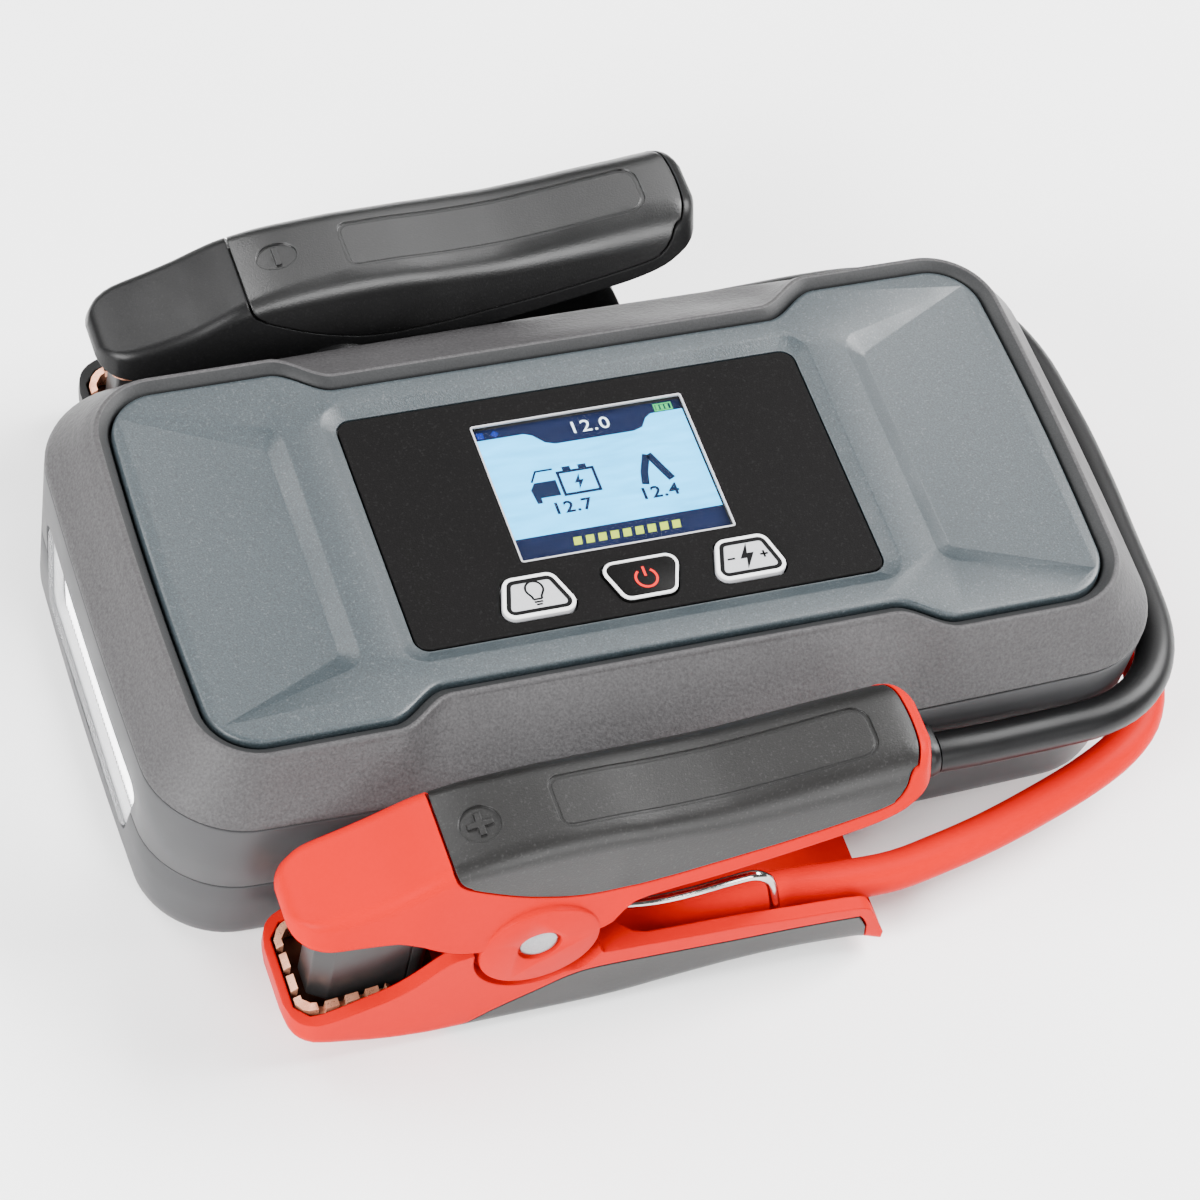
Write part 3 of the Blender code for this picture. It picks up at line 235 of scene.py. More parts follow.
# ---- mesh helpers (millimetres) --------------------------------------------------
def make(name, geo, mat, smooth=30):
    me = bpy.data.meshes.new(name)
    me.from_pydata([(x * MM, y * MM, z * MM) for x, y, z in geo[0]], [], geo[1])
    me.validate()
    me.update()
    ob = bpy.data.objects.new(name, me)
    COL.objects.link(ob)
    if mat is not None:
        me.materials.append(mat)
    me.shade_smooth()
    me.set_sharp_from_angle(angle=math.radians(smooth))
    return ob


def vol(verts, faces):
    t = 0.0
    for f in faces:
        a = Vector(verts[f[0]])
        for i in range(1, len(f) - 1):
            t += a.dot(Vector(verts[f[i]]).cross(Vector(verts[f[i + 1]])))
    return t


def loft(rings, closed=False):
    n = len(rings[0])
    verts = [tuple(p) for r in rings for p in r]
    faces = []
    k = len(rings)
    for i in range(k if closed else k - 1):
        a, b = i * n, ((i + 1) % k) * n
        for j in range(n):
            j2 = (j + 1) % n
            faces.append((a + j, a + j2, b + j2, b + j))
    if not closed:
        faces.append(tuple(reversed(range(n))))
        faces.append(tuple(range((k - 1) * n, k * n)))
    if vol(verts, faces) < 0:
        faces = [tuple(reversed(f)) for f in faces]
    return verts, faces


def join_geo(*parts):
    verts, faces = [], []
    for v, f in parts:
        o = len(verts)
        verts += list(v)
        faces += [tuple(i + o for i in q) for q in f]
    return verts, faces


def prism(profile, a, b, plane="xz"):
    if plane == "xz":
        rings = [[(u, c, w) for u, w in profile] for c in (a, b)]
    elif plane == "xy":
        rings = [[(u, w, c) for u, w in profile] for c in (a, b)]
    else:
        rings = [[(c, u, w) for u, w in profile] for c in (a, b)]
    return loft(rings)


def box(x0, x1, y0, y1, z0, z1):
    return prism([(x0, y0), (x1, y0), (x1, y1), (x0, y1)], z0, z1, "xy")


def circle(cx, cy, r, n, phase=0.0):
    return [(cx + r * math.cos(phase + 2 * math.pi * i / n), cy + r * math.sin(phase + 2 * math.pi * i / n)) for i in range(n)]


def cylinder(axis, c, r, a, b, n=48):
    prof = circle(c[0], c[1], r, n, math.pi / n)
    return prism(prof, a, b, {"y": "xz", "z": "xy", "x": "yz"}[axis])


def turned(axis, c, steps, n=48):
    rings = []
    for pos, r in steps:
        ring = circle(c[0], c[1], r, n, math.pi / n)
        if axis == "y":
            rings.append([(u, pos, w) for u, w in ring])
        elif axis == "z":
            rings.append([(u, w, pos) for u, w in ring])
        else:
            rings.append([(pos, u, w) for u, w in ring])
    return loft(rings)


def rounded_poly(pts, r, seg=8):
    out = []
    n = len(pts)
    for i in range(n):
        p0, p1, p2 = Vector(pts[i - 1]), Vector(pts[i]), Vector(pts[(i + 1) % n])
        rr = r[i] if isinstance(r, (list, tuple)) else r
        d0, d2 = (p0 - p1).normalized(), (p2 - p1).normalized()
        ang = d0.angle(d2)
        if rr <= 0 or ang > math.pi - 0.02:
            out.append(tuple(p1))
            continue
        t = min(rr / math.tan(ang / 2), 0.48 * min((p0 - p1).length, (p2 - p1).length))
        rr = t * math.tan(ang / 2)
        mid = (d0 + d2).normalized()
        c = p1 + mid * (rr / math.sin(ang / 2))
        a, b = p1 + d0 * t - c, p1 + d2 * t - c
        tot = a.angle(b)
        for k in range(seg + 1):
            u = k / seg
            v = (a * math.sin((1 - u) * tot) + b * math.sin(u * tot)) / math.sin(tot)
            out.append(tuple(c + v))
    return out


def grow(poly, d):
    """Offset a counter-clockwise polygon outwards by d."""
    out = []
    n = len(poly)
    for i in range(n):
        p0, p1, p2 = Vector(poly[i - 1]), Vector(poly[i]), Vector(poly[(i + 1) % n])
        e0, e1 = (p1 - p0).normalized(), (p2 - p1).normalized()
        n0, n1 = Vector((e0.y, -e0.x)), Vector((e1.y, -e1.x))
        k = (n0 + n1) / max(1 + n0.dot(n1), 0.2)
        out.append(tuple(p1 + k * d))
    return out


def pchip(xs, ys, x):
    """Monotone cubic through the given points."""
    n = len(xs)
    h = [xs[i + 1] - xs[i] for i in range(n - 1)]
    d = [(ys[i + 1] - ys[i]) / h[i] for i in range(n - 1)]
    m = [0.0] * n
    m[0], m[-1] = d[0], d[-1]
    for i in range(1, n - 1):
        if d[i - 1] * d[i] > 0:
            w1, w2 = 2 * h[i] + h[i - 1], h[i] + 2 * h[i - 1]
            m[i] = (w1 + w2) / (w1 / d[i - 1] + w2 / d[i])
    if x <= xs[0]:
        return ys[0]
    if x >= xs[-1]:
        return ys[-1]
    i = max(k for k in range(n - 1) if xs[k] <= x)
    t = (x - xs[i]) / h[i]
    t2, t3 = t * t, t * t * t
    return (2 * t3 - 3 * t2 + 1) * ys[i] + (t3 - 2 * t2 + t) * h[i] * m[i] + (-2 * t3 + 3 * t2) * ys[i + 1] + (t3 - t2) * h[i] * m[i + 1]


def dense(stations, step_mm, ends=()):
    """Resample a table of stations along its first column."""
    xs = [s[0] for s in stations]
    cols = list(zip(*[s[1:] for s in stations]))
    n = max(int(round((xs[-1] - xs[0]) / step_mm)), 2)
    want = sorted(set([round(xs[0] + (xs[-1] - xs[0]) * k / n, 4) for k in range(n + 1)] + [round(x, 4) for x in ends]))
    out = []
    for x in want:
        if out and x - out[-1][0] < 0.12:
            continue
        out.append((x, *[pchip(xs, list(c), x) for c in cols]))
    if xs[-1] - out[-1][0] > 1e-6:
        out[-1] = (xs[-1], *[c[-1] for c in cols])
    return out


def smooth_line(pts, per=6):
    """Catmull-Rom through a list of 2-D points, ends kept."""
    p = [Vector(q) for q in pts]
    p = [p[0] * 2 - p[1]] + p + [p[-1] * 2 - p[-2]]
    out = []
    for i in range(1, len(p) - 2):
        for k in range(per):
            t = k / per
            a, b, c, d = p[i - 1], p[i], p[i + 1], p[i + 2]
            out.append(tuple(0.5 * ((2 * b) + (c - a) * t + (2 * a - 5 * b + 4 * c - d) * t * t + (3 * b - a - 3 * c + d) * t ** 3)))
    out.append(tuple(p[-2]))
    return out


def carve(ob, steps, smooth=30):
    """Apply a list of (geometry, operation) to ob, then shade it."""
    tools = []
    for i, (geo, op) in enumerate(steps):
        if isinstance(geo, bpy.types.Object):
            t = geo
        else:
            t = make("tool", geo, None)
        tools.append(t)
        m = ob.modifiers.new("b%d" % i, "BOOLEAN")
        m.operation = op
        m.solver = "EXACT"
        m.object = t
    bpy.context.view_layer.update()
    dg = bpy.context.evaluated_depsgraph_get()
    me = bpy.data.meshes.new_from_object(ob.evaluated_get(dg), preserve_all_data_layers=True, depsgraph=dg)
    ob.modifiers.clear()
    ob.data = me
    for t in tools:
        bpy.data.objects.remove(t, do_unlink=True)
    mats = [m for m in me.materials if m is not None]
    if mats:
        keep = mats[0]
        me.materials.clear()
        me.materials.append(keep)
        for p in me.polygons:
            p.material_index = 0
    me.shade_smooth()
    me.set_sharp_from_angle(angle=math.radians(smooth))
    return ob


def put(ob, body, node=None):
    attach(ob, body)
    if node:
        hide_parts(*([node] if isinstance(node, str) else node))
    return ob


def stroke(pts, w, z0, z1, closed=False, caps=True):
    """A flat line of width w along 2-D points, as a thin solid."""
    p = [Vector(q) for q in pts]
    n = len(p)
    left, right_ = [], []
    for i in range(n):
        a = p[i - 1] if (i > 0 or closed) else p[i]
        b = p[(i + 1) % n] if (i < n - 1 or closed) else p[i]
        d0 = (p[i] - a).normalized() if (p[i] - a).length > 1e-9 else (b - p[i]).normalized()
        d1 = (b - p[i]).normalized() if (b - p[i]).length > 1e-9 else d0
        n0, n1 = Vector((-d0.y, d0.x)), Vector((-d1.y, d1.x))
        k = (n0 + n1) / max(1 + n0.dot(n1), 0.35)
        left.append(p[i] + k * (w / 2))
        right_.append(p[i] - k * (w / 2))
    rings = []
    for l, r in zip(left, right_):
        rings.append([(l.x, l.y, z0), (r.x, r.y, z0), (r.x, r.y, z1), (l.x, l.y, z1)])
    return loft(rings, closed=closed)


def plate_ring(poly_out, poly_in, z0, z1, soft=0.0):
    """A flat ring between two outlines with the same number of points; soft rounds its top edges."""
    rings = [[(x, y, z0) for x, y in poly_out], [(x, y, z1 - soft) for x, y in poly_out]]
    if soft > 0:
        mo = [((a[0] * 0.8 + b[0] * 0.2), (a[1] * 0.8 + b[1] * 0.2)) for a, b in zip(poly_out, poly_in)]
        mi = [((a[0] * 0.2 + b[0] * 0.8), (a[1] * 0.2 + b[1] * 0.8)) for a, b in zip(poly_out, poly_in)]
        rings += [[(x, y, z1) for x, y in mo], [(x, y, z1) for x, y in mi]]
    rings += [[(x, y, z1 - soft) for x, y in poly_in], [(x, y, z0) for x, y in poly_in]]
    return loft(rings, closed=True)


def tube_mesh(name, pts, radius, n, mat):
    """A round wire along 3-D points, as a mesh with parallel-transported rings and domed ends."""
    p = [Vector(q) for q in pts]
    tang = []
    for i in range(len(p)):
        a, b = p[max(i - 1, 0)], p[min(i + 1, len(p) - 1)]
        tang.append((b - a).normalized())
    ref = Vector((0, 0, 1)) if abs(tang[0].z) < 0.9 else Vector((1, 0, 0))
    u = tang[0].cross(ref).normalized()
    rings = []
    for i, t in enumerate(tang):
        u = (u - t * u.dot(t)).normalized()
        v = t.cross(u)
        rings.append((p[i], u.copy(), v.copy(), t))
    out = []
    for k in (0.25, 0.7):
        c, uu, vv, t = rings[0]
        out.append([tuple(c - t * radius * math.sqrt(1 - k * k) * 0.8 + (uu * math.cos(2 * math.pi * j / n) + vv * math.sin(2 * math.pi * j / n)) * radius * k) for j in range(n)])
    for c, uu, vv, t in rings:
        out.append([tuple(c + (uu * math.cos(2 * math.pi * j / n) + vv * math.sin(2 * math.pi * j / n)) * radius) for j in range(n)])
    for k in (0.7, 0.25):
        c, uu, vv, t = rings[-1]
        out.append([tuple(c + t * radius * math.sqrt(1 - k * k) * 0.8 + (uu * math.cos(2 * math.pi * j / n) + vv * math.sin(2 * math.pi * j / n)) * radius * k) for j in range(n)])
    return make(name, loft(out), mat, 60)


def spline3(pts, spacing):
    p = [Vector(q) for q in pts]
    p = [p[0] * 2 - p[1]] + p + [p[-1] * 2 - p[-2]]
    d = []
    for i in range(1, len(p) - 2):
        for k in range(16):
            t = k / 16.0
            a, b, c, e = p[i - 1], p[i], p[i + 1], p[i + 2]
            d.append(0.5 * ((2 * b) + (c - a) * t + (2 * a - 5 * b + 4 * c - e) * t * t + (3 * b - a - 3 * c + e) * t ** 3))
    d.append(p[-2])
    total = sum((d[i + 1] - d[i]).length for i in range(len(d) - 1))
    n = max(int(round(total / spacing)), 3)
    out, acc, j = [d[0]], 0.0, 0
    for k in range(1, n):
        want = total * k / n
        while acc + (d[j + 1] - d[j]).length < want:
            acc += (d[j + 1] - d[j]).length
            j += 1
        s = (d[j + 1] - d[j]).length
        out.append(d[j].lerp(d[j + 1], (want - acc) / s))
    out.append(d[-1])
    return out, total


# ---- leads ---------------------------------------------------------------------
LEAD_D = 6.6
BLACK_ROUTE = [(41.8, -48.1, 25.0), (45.0, -48.1, 24.95), (50, -48.0, 24.7), (57, -47.65, 24.4), (64, -47.3, 24.2), (71, -46.9, 24.2), (77, -45.4, 24.4), (82.0, -42.2, 24.6),
               (85.45, -37.8, 24.6), (87.7, -32.0, 24.3), (88.7, -25.0, 23.9), (89.5, -14.0, 23.3), (90.3, -2.0, 22.9), (90.6, 9.0, 22.5), (90.3, 18.5, 22.2), (89.8, 26.0, 21.9), (88.2, 32.8, 21.6),
               (85.6, 39.4, 20.9), (81.2, 45.6, 19.6), (75.2, 50.8, 17.6), (68.0, 54.4, 15.2), (60, 56.6, 12.7), (51, 57.8, 10.7), (42, 58.2, 9.7), (34, 58.0, 9.4), (25, 57.6, 9.5), (15, 57.2, 9.8), (5, 57.2, 9.4), (-4, 57.2, 8.4), (-11.0, 57.2, 7.5), (-16.0, 57.2, 7.2)]
RED_ROUTE = [(41.8, 48.0, 11.0), (45.5, 48.0, 11.0), (54, 48.0, 11.1), (62, 47.8, 11.2), (69, 47.3, 11.4), (75.0, 46.0, 11.6), (80.6, 43.4, 11.8),
             (84.8, 39.4, 12.0), (87.2, 34.0, 12.0), (88.2, 27.0, 12.0), (89.0, 14.0, 12.4), (89.4, 0.0, 13.0), (89.4, -14.0, 13.5), (88.8, -27.0, 13.8), (87.4, -36.2, 13.9),
             (83.8, -42.8, 13.9), (78.0, -47.4, 13.6), (70.4, -50.8, 12.9), (61.3, -53.6, 11.8), (51.5, -56.0, 10.5), (42, -57.8, 9.8), (34, -59.0, 9.5), (25, -59.0, 9.6), (15, -58.7, 9.9), (5, -58.6, 9.4), (-4, -58.2, 8.4), (-11.0, -57.8, 7.5), (-16.0, -57.8, 7.2)]


def lead(name, route, mat, node):
    pts, total = spline3(route, 2.2)
    cu = bpy.data.curves.new(name, "CURVE")
    cu.dimensions = "3D"
    cu.bevel_depth = LEAD_D / 2 * MM
    cu.bevel_resolution = 9
    cu.use_fill_caps = True
    sp = cu.splines.new("POLY")
    sp.points.add(len(pts) - 1)
    for q, p in zip(sp.points, pts):
        q.co = (p.x * MM, p.y * MM, p.z * MM, 1.0)
    sp.use_smooth = True
    cu.materials.append(mat)
    ob = bpy.data.objects.new(name, cu)
    COL.objects.link(ob)
    put(ob, "housing", node)
    return total


LEN_BLACK = lead("black_lead", BLACK_ROUTE, M_BLACK_LEAD, "negative_lead")
LEN_RED = lead("red_lead", RED_ROUTE, M_RED_LEAD, "positive_lead")
print("lead lengths", round(LEN_BLACK, 1), round(LEN_RED, 1))

# ---- housing --------------------------------------------------------------------
GAP, WALL = 0.3, 2.3
HALF_L, HALF_W, BOW_END, BOW_SIDE, CORNER_R = 85.2, 44.6, 1.0, 1.5, 15.0
Z_SEAM, Z_RIDGE, Z_FACE, Z_RIM, DRAFT = 16.0, 32.4, 42.5, 42.9, 1.1
INS_L, INS_W, INS_N, INS_R, INS_X0, INS_X1 = 75.7, 34.4, 29.6, 8.0, 38.0, 48.0
OVL_L, OVL_W, OVL_R, OVL_Y, Z_OVL = 39.4, 22.9, 2.6, 0.35, 41.6
SCR_L, SCR_W, SCR_Y, KEY_Z = 18.0, 13.65, 4.45, 42.3
LEAD_Z = {-1: 25.0, 1: 11.0}
SIDE_X = [-57, -54, -52] + [-50 + 14.0 * k / 16 for k in range(17)] + [-30, -22, -14, -7, 0, 7, 14, 22, 30] + [36 + 14.0 * k / 16 for k in range(17)] + [52, 54, 57]
CSEG = 14


def full_ring(hx, hy, r, side_y, scale, bow_end, bow_side):
    pts = []

    def corner(cx, cy, a0):
        for k in range(CSEG + 1):
            a = math.radians(a0 + 90.0 * k / CSEG)
            pts.append((cx + r * math.cos(a), cy + r * math.sin(a)))

    corner(-(hx - r), -(hy - r), 180)
    for x in SIDE_X:
        pts.append((x * scale, -side_y(x)))
    corner(hx - r, -(hy - r), 270)
    fr = (-0.9, -0.75, -0.6, -0.45, -0.3, -0.15, 0.0, 0.15, 0.3, 0.45, 0.6, 0.75, 0.9)
    for f in fr:
        pts.append((hx, f * (hy - r)))
    corner(hx - r, hy - r, 0)
    for x in reversed(SIDE_X):
        pts.append((x * scale, side_y(x)))
    corner(-(hx - r), hy - r, 90)
    for f in reversed(fr):
        pts.append((-hx, f * (hy - r)))
    return [(x * (1 - bow_end / hx * (y / hy) ** 2), y * (1 - bow_side / hy * (x / hx) ** 2)) for x, y in pts]


def shell_ring(inset, z):
    d = inset + DRAFT * max(0.0, 1 - z / Z_RIDGE)
    hx, hy, r = HALF_L - d, HALF_W - d, max(CORNER_R - d, 2.0)
    return [(x, y, z) for x, y in full_ring(hx, hy, r, lambda x: hy, 1.03, BOW_END, BOW_SIDE)]


def ease(t):
    t = min(max(t, 0.0), 1.0)
    return t * t * (3 - 2 * t)


def insert_ring(off, z):
    hx, hw, hn, r = INS_L + off, INS_W + off, INS_N + off, INS_R + off

    def side(x):
        return hn + (hw - hn) * ease((abs(x) - (INS_X0 - 0.25 * off)) / (INS_X1 - INS_X0))

    return [(x, y, z) for x, y in full_ring(hx, hw, r, side, 1.0, BOW_END, 0.0)]


def between(a, b, t, z):
    return [(p[0] + (q[0] - p[0]) * t, p[1] + (q[1] - p[1]) * t, z) for p, q in zip(a, b)]


LENS = [(-27.6, 23.8), (27.6, 23.8), (23.2, 6.9), (-23.2, 6.9)]
PORT = [(-13, 14.0), (13, 14.0), (13, 23.6), (-13, 23.6)]


def lens_cut():
    # the opening flares slightly at the face of the wall
    out = rounded_poly(LENS, 2.6, 8)
    return loft([[(-90, y * 1.02, 15.4 + (z - 15.4) * 1.03) for y, z in out], [(-84.9, y * 1.006, 15.4 + (z - 15.4) * 1.008) for y, z in out], [(-84.3, y, z) for y, z in out], [(-78, y, z) for y, z in out]])


def port_cut():
    return prism(rounded_poly(PORT, 1.5, 6), 79, 90, "yz")


e = 0.28   # edge rounding at the seams
base = make("base_tray", loft([
    shell_ring(3.0, 0.0), shell_ring(2.1, 0.12), shell_ring(1.25, 0.55), shell_ring(0.7, 1.2), shell_ring(0.3, 2.2), shell_ring(0.08, 3.4), shell_ring(0.0, 5.0),
    shell_ring(0.0, 10.0), shell_ring(0.0, Z_SEAM - GAP / 2 - e), shell_ring(e * 0.3, Z_SEAM - GAP / 2 - e * 0.3), shell_ring(e, Z_SEAM - GAP / 2),
    shell_ring(WALL, Z_SEAM - GAP / 2), shell_ring(WALL, 5.0), shell_ring(WALL + 1.2, WALL)]), M_WALL)
SCREWS = [(sx * 73.5, sy * 32.5) for sx in (-1, 1) for sy in (-1, 1)]
steps = []
for x, y in SCREWS:
    steps.append((cylinder("z", (x, y), 4.2, 1.6, 12.0, 32), "UNION"))
    steps.append((turned("z", (x, y), [(-1.0, 3.1), (0.0, 3.1), (0.35, 2.9), (8.5, 2.9), (8.5, 1.75), (13.0, 1.75)], 32), "DIFFERENCE"))
steps += [(lens_cut(), "DIFFERENCE"), (port_cut(), "DIFFERENCE"), (box(35.9, 40.9, 38, 48, LEAD_Z[1] - 2.8, LEAD_Z[1] + 2.8), "DIFFERENCE")]
put(carve(base, steps), "housing", "base_shell")

mid = make("middle_band", loft([
    shell_ring(e, Z_SEAM + GAP / 2), shell_ring(e * 0.3, Z_SEAM + GAP / 2 + e * 0.3), shell_ring(0.0, Z_SEAM + GAP / 2 + e), shell_ring(0.0, 24.0),
    shell_ring(0.0, Z_RIDGE - GAP / 2 - 0.4), shell_ring(0.12, Z_RIDGE - GAP / 2 - 0.12), shell_ring(0.4, Z_RIDGE - GAP / 2),
    shell_ring(WALL, Z_RIDGE - GAP / 2), shell_ring(WALL, Z_SEAM + GAP / 2)], closed=True), M_WALL)
steps = [(lens_cut(), "DIFFERENCE"), (port_cut(), "DIFFERENCE"), (box(35.9, 40.9, -48, -38, LEAD_Z[-1] - 2.8, LEAD_Z[-1] + 2.8), "DIFFERENCE")]
for s in (-1, 1):
    steps.append((box(-60.3, -53.7, *sorted((s * 38, s * 48)), 18.2, 24.3), "DIFFERENCE"))
put(carve(mid, steps), "housing", "mid_shell")

r0, r1 = shell_ring(0.45, Z_RIDGE + GAP / 2), shell_ring(0.5, Z_RIDGE + 1.5)
rim = insert_ring(3.1, 42.25)
ZT = ([0.0, 0.5, 0.85, 1.0], [33.9, 37.9, 41.05, 42.25])
shoulder = [r0, shell_ring(0.1, Z_RIDGE + GAP / 2 + 0.15), shell_ring(0.0, Z_RIDGE + GAP / 2 + 0.4), shell_ring(0.12, Z_RIDGE + 1.0)]
for k in range(0, 13):
    t = k / 12.0
    shoulder.append(between(r1, rim, t, pchip(ZT[0], ZT[1], t)))
top = make("top_cover", loft(shoulder + [
    insert_ring(2.95, 42.58), insert_ring(2.8, 42.76), insert_ring(2.6, 42.87), insert_ring(2.4, Z_RIM), insert_ring(2.1, 42.84), insert_ring(1.2, 42.12), insert_ring(0.8, 41.82), insert_ring(0.55, 41.5), insert_ring(0.42, 41.1), insert_ring(0.4, 38.9),
    insert_ring(-2.0, 38.9), insert_ring(-2.0, 37.4), insert_ring(0.2, 37.4), shell_ring(WALL, Z_RIDGE + 1.0), shell_ring(WALL, Z_RIDGE + GAP / 2)], closed=True), M_SHOULDER)
steps = []
for x, y in SCREWS:
    steps.append((cylinder("z", (x, y), 3.4, 12.4, 38.0, 24), "UNION"))
    steps.append((cylinder("z", (x, y), 1.5, 10.0, 27.0, 16), "DIFFERENCE"))
carve(top, steps)
# painted shade: the lip faces inside the lip line take the darker shoulder copy, where the steep groove lies in shadow
top.data.materials.append(M_GROOVE_SHADE)
lip_shade_line = [(q[0], q[1]) for q in insert_ring(2.16, 0.0)]


def within(line, x, y):
    hit = False
    for (x0, y0), (x1, y1) in zip(line, line[1:] + line[:1]):
        if (y0 > y) != (y1 > y) and x < x0 + (y - y0) * (x1 - x0) / (y1 - y0):
            hit = not hit
    return hit


for f in top.data.polygons:
    c = f.center / MM
    if c.z > 38.5 and within(lip_shade_line, c.x, c.y):
        f.material_index = 1
put(top, "housing", "top_shell")


# ---- insert with its overlay recess and wing recesses -----------------------------
def ovl_ring(d, z, r, seg=8):
    return [(x, y + OVL_Y, z) for x, y in rounded_poly([(-OVL_L - d, -OVL_W - d), (OVL_L + d, -OVL_W - d), (OVL_L + d, OVL_W + d), (-OVL_L - d, OVL_W + d)], r, seg)]


ins = make("face_insert", loft([insert_ring(0.0, 39.2), insert_ring(0.0, Z_FACE - 0.7), insert_ring(-0.08, Z_FACE - 0.42), insert_ring(-0.26, Z_FACE - 0.18), insert_ring(-0.52, Z_FACE - 0.04), insert_ring(-0.85, Z_FACE)]), M_INSERT)
steps = [(loft([ovl_ring(GAP, 40.4, OVL_R), ovl_ring(GAP, Z_OVL - 0.1, OVL_R), ovl_ring(0.5, Z_OVL - 0.1, OVL_R + 0.1), ovl_ring(2.45, Z_FACE - 0.13, OVL_R + 1.3), ovl_ring(2.75, Z_FACE - 0.02, OVL_R + 1.5), ovl_ring(2.95, Z_FACE + 0.02, OVL_R + 1.6), ovl_ring(2.95, 45, OVL_R + 1.6)]), "DIFFERENCE"),
         (box(-SCR_L - 3.0, SCR_L + 3.0, SCR_Y - SCR_W - 2.2, SCR_Y + SCR_W + 2.2, 37, 45), "DIFFERENCE")]


def plane_poly(corners, radii, seg=8):
    """Rounded outline in the plane through four corners given as (x, y, z)."""
    flat = rounded_poly([(c[0], c[1]) for c in corners], radii, seg)
    (x0, _, z0), (x1, _, z1) = corners[0], corners[2]
    return [(x, y, z0 + (z1 - z0) * (x - x0) / (x1 - x0)) for x, y in flat]


for s in (-1, 1):
    floor = [(s * 51.7, -20.2, 41.15), (s * 51.7, 20.2, 41.15), (s * 73.4, 30.3, 42.5), (s * 73.4, -30.3, 42.5)]
    mid_f = [(s * 51.4, -20.55, 41.22), (s * 51.4, 20.55, 41.22), (s * 73.45, 30.35, 42.51), (s * 73.45, -30.35, 42.51)]
    brim0 = [(s * 48.8, -23.3, 42.36), (s * 48.8, 23.3, 42.36), (s * 73.7, 30.6, 42.7), (s * 73.7, -30.6, 42.7)]
    brim1 = [(s * 48.4, -23.7, 42.50), (s * 48.4, 23.7, 42.50), (s * 73.8, 30.7, 42.76), (s * 73.8, -30.7, 42.76)]
    brim = [(s * 48.2, -23.9, 44.0), (s * 48.2, 23.9, 44.0), (s * 73.9, 30.8, 44.0), (s * 73.9, -30.8, 44.0)]
    rad = [(1.2, 1.2, 0.5, 0.5), (1.5, 1.5, 0.5, 0.5), (3.6, 3.6, 0.6, 0.6), (4.0, 4.0, 0.6, 0.6), (4.2, 4.2, 0.6, 0.6)]
    steps.append((loft([plane_poly(c, list(r)) for c, r in zip((floor, mid_f, brim0, brim1, brim), rad)]), "DIFFERENCE"))

KEYS = {
    "light": ([(-25.0, -20.2), (-11.2, -20.2), (-14.3, -12.3), (-22.6, -12.3)], (-18.3, -16.3)),
    "power": ([(-4.4, -20.3), (4.4, -20.3), (7.2, -12.6), (-7.2, -12.6)], (0.0, -16.5)),
    "start": ([(11.0, -20.0), (24.2, -20.0), (21.8, -12.0), (13.4, -12.0)], (17.6, -16.0)),
}


def key_outline(nm, d, r=2.0):
    """The key's rounded outline, then offset by d, so every offset has the same number of points."""
    return grow(rounded_poly(KEYS[nm][0], r, 8), d)


def key_hole(nm, z0, z1):
    return prism(rounded_poly(grow(KEYS[nm][0], GAP), 2.2, 8), z0, z1, "xy")


for nm in KEYS:
    steps.append((key_hole(nm, 37, 45), "DIFFERENCE"))
put(carve(ins, steps, 22), "housing", "insert_panel")

ovl = make("face_overlay", loft([ovl_ring(0.0, 40.7, OVL_R - 0.3), ovl_ring(0.0, Z_OVL - 0.12, OVL_R - 0.3), ovl_ring(-0.12, Z_OVL, OVL_R - 0.4)]), M_OVERLAY)
win_hole = rounded_poly([(-SCR_L - GAP, SCR_Y - SCR_W - GAP), (SCR_L + GAP, SCR_Y - SCR_W - GAP), (SCR_L + GAP, SCR_Y + SCR_W + GAP), (-SCR_L - GAP, SCR_Y + SCR_W + GAP)], 0.5, 4)
put(carve(ovl, [(prism(win_hole, 40, 44, "xy"), "DIFFERENCE")] + [(key_hole(nm, 37, 45), "DIFFERENCE") for nm in KEYS]), "housing", "overlay_panel")

# ---- keys -------------------------------------------------------------------------
for nm, (poly, c) in KEYS.items():
    body = nm + "_key"
    silver = nm != "power"
    fill = M_SILVER if silver else M_OVERLAY
    lip = 0.7 if silver else 0.55
    # body of the key, with flange and stem, below its printed face
    outer = [[(x, y, z) for x, y in key_outline(nm, d)] for z, d in ((38.2, 0.0), (KEY_Z - 0.5, 0.0), (KEY_Z - 0.3, -0.06), (KEY_Z - 0.22, -0.2))]
    k = make(nm + "_key_body", loft(outer), fill)
    fl = loft([[(x, y, z) for x, y in rounded_poly(grow(poly, 0.9), 2.4, 6)] for z in (38.0, 38.9)])
    put(carve(k, [(fl, "UNION"), (cylinder("z", c, 1.6, 36.85, 38.4, 24), "UNION")]), body, nm + "_key")
    # raised rim in white
    rim_rings = [[(x, y, z) for x, y in key_outline(nm, d)] for z, d in ((KEY_Z - 0.35, -0.02), (KEY_Z - 0.16, -0.04), (KEY_Z - 0.04, -0.14), (KEY_Z, -0.3), (KEY_Z, -lip + 0.14), (KEY_Z - 0.05, -lip + 0.03), (KEY_Z - 0.3, -lip))]
    r = make(nm + "_key_rim", loft(rim_rings, closed=True), M_WHITE)
    put(r, body)
    if silver:
        ln = make(nm + "_key_line", plate_ring(key_outline(nm, -lip + 0.1), key_outline(nm, -lip - 0.7), KEY_Z - 0.3, KEY_Z - 0.12), M_BLACK_PRINT)
        put(ln, body)
        pl = make(nm + "_key_face", loft([[(x, y, z) for x, y in key_outline(nm, d)] for z, d in ((KEY_Z - 0.3, -lip - 0.72), (KEY_Z - 0.12, -lip - 0.72), (KEY_Z - 0.07, -lip - 0.8))]), M_SILVER)
        put(pl, body)

ZI0, ZI1 = KEY_Z - 0.1, KEY_Z - 0.02


def at(c, pts):
    return [(c[0] + x, c[1] + y) for x, y in pts]


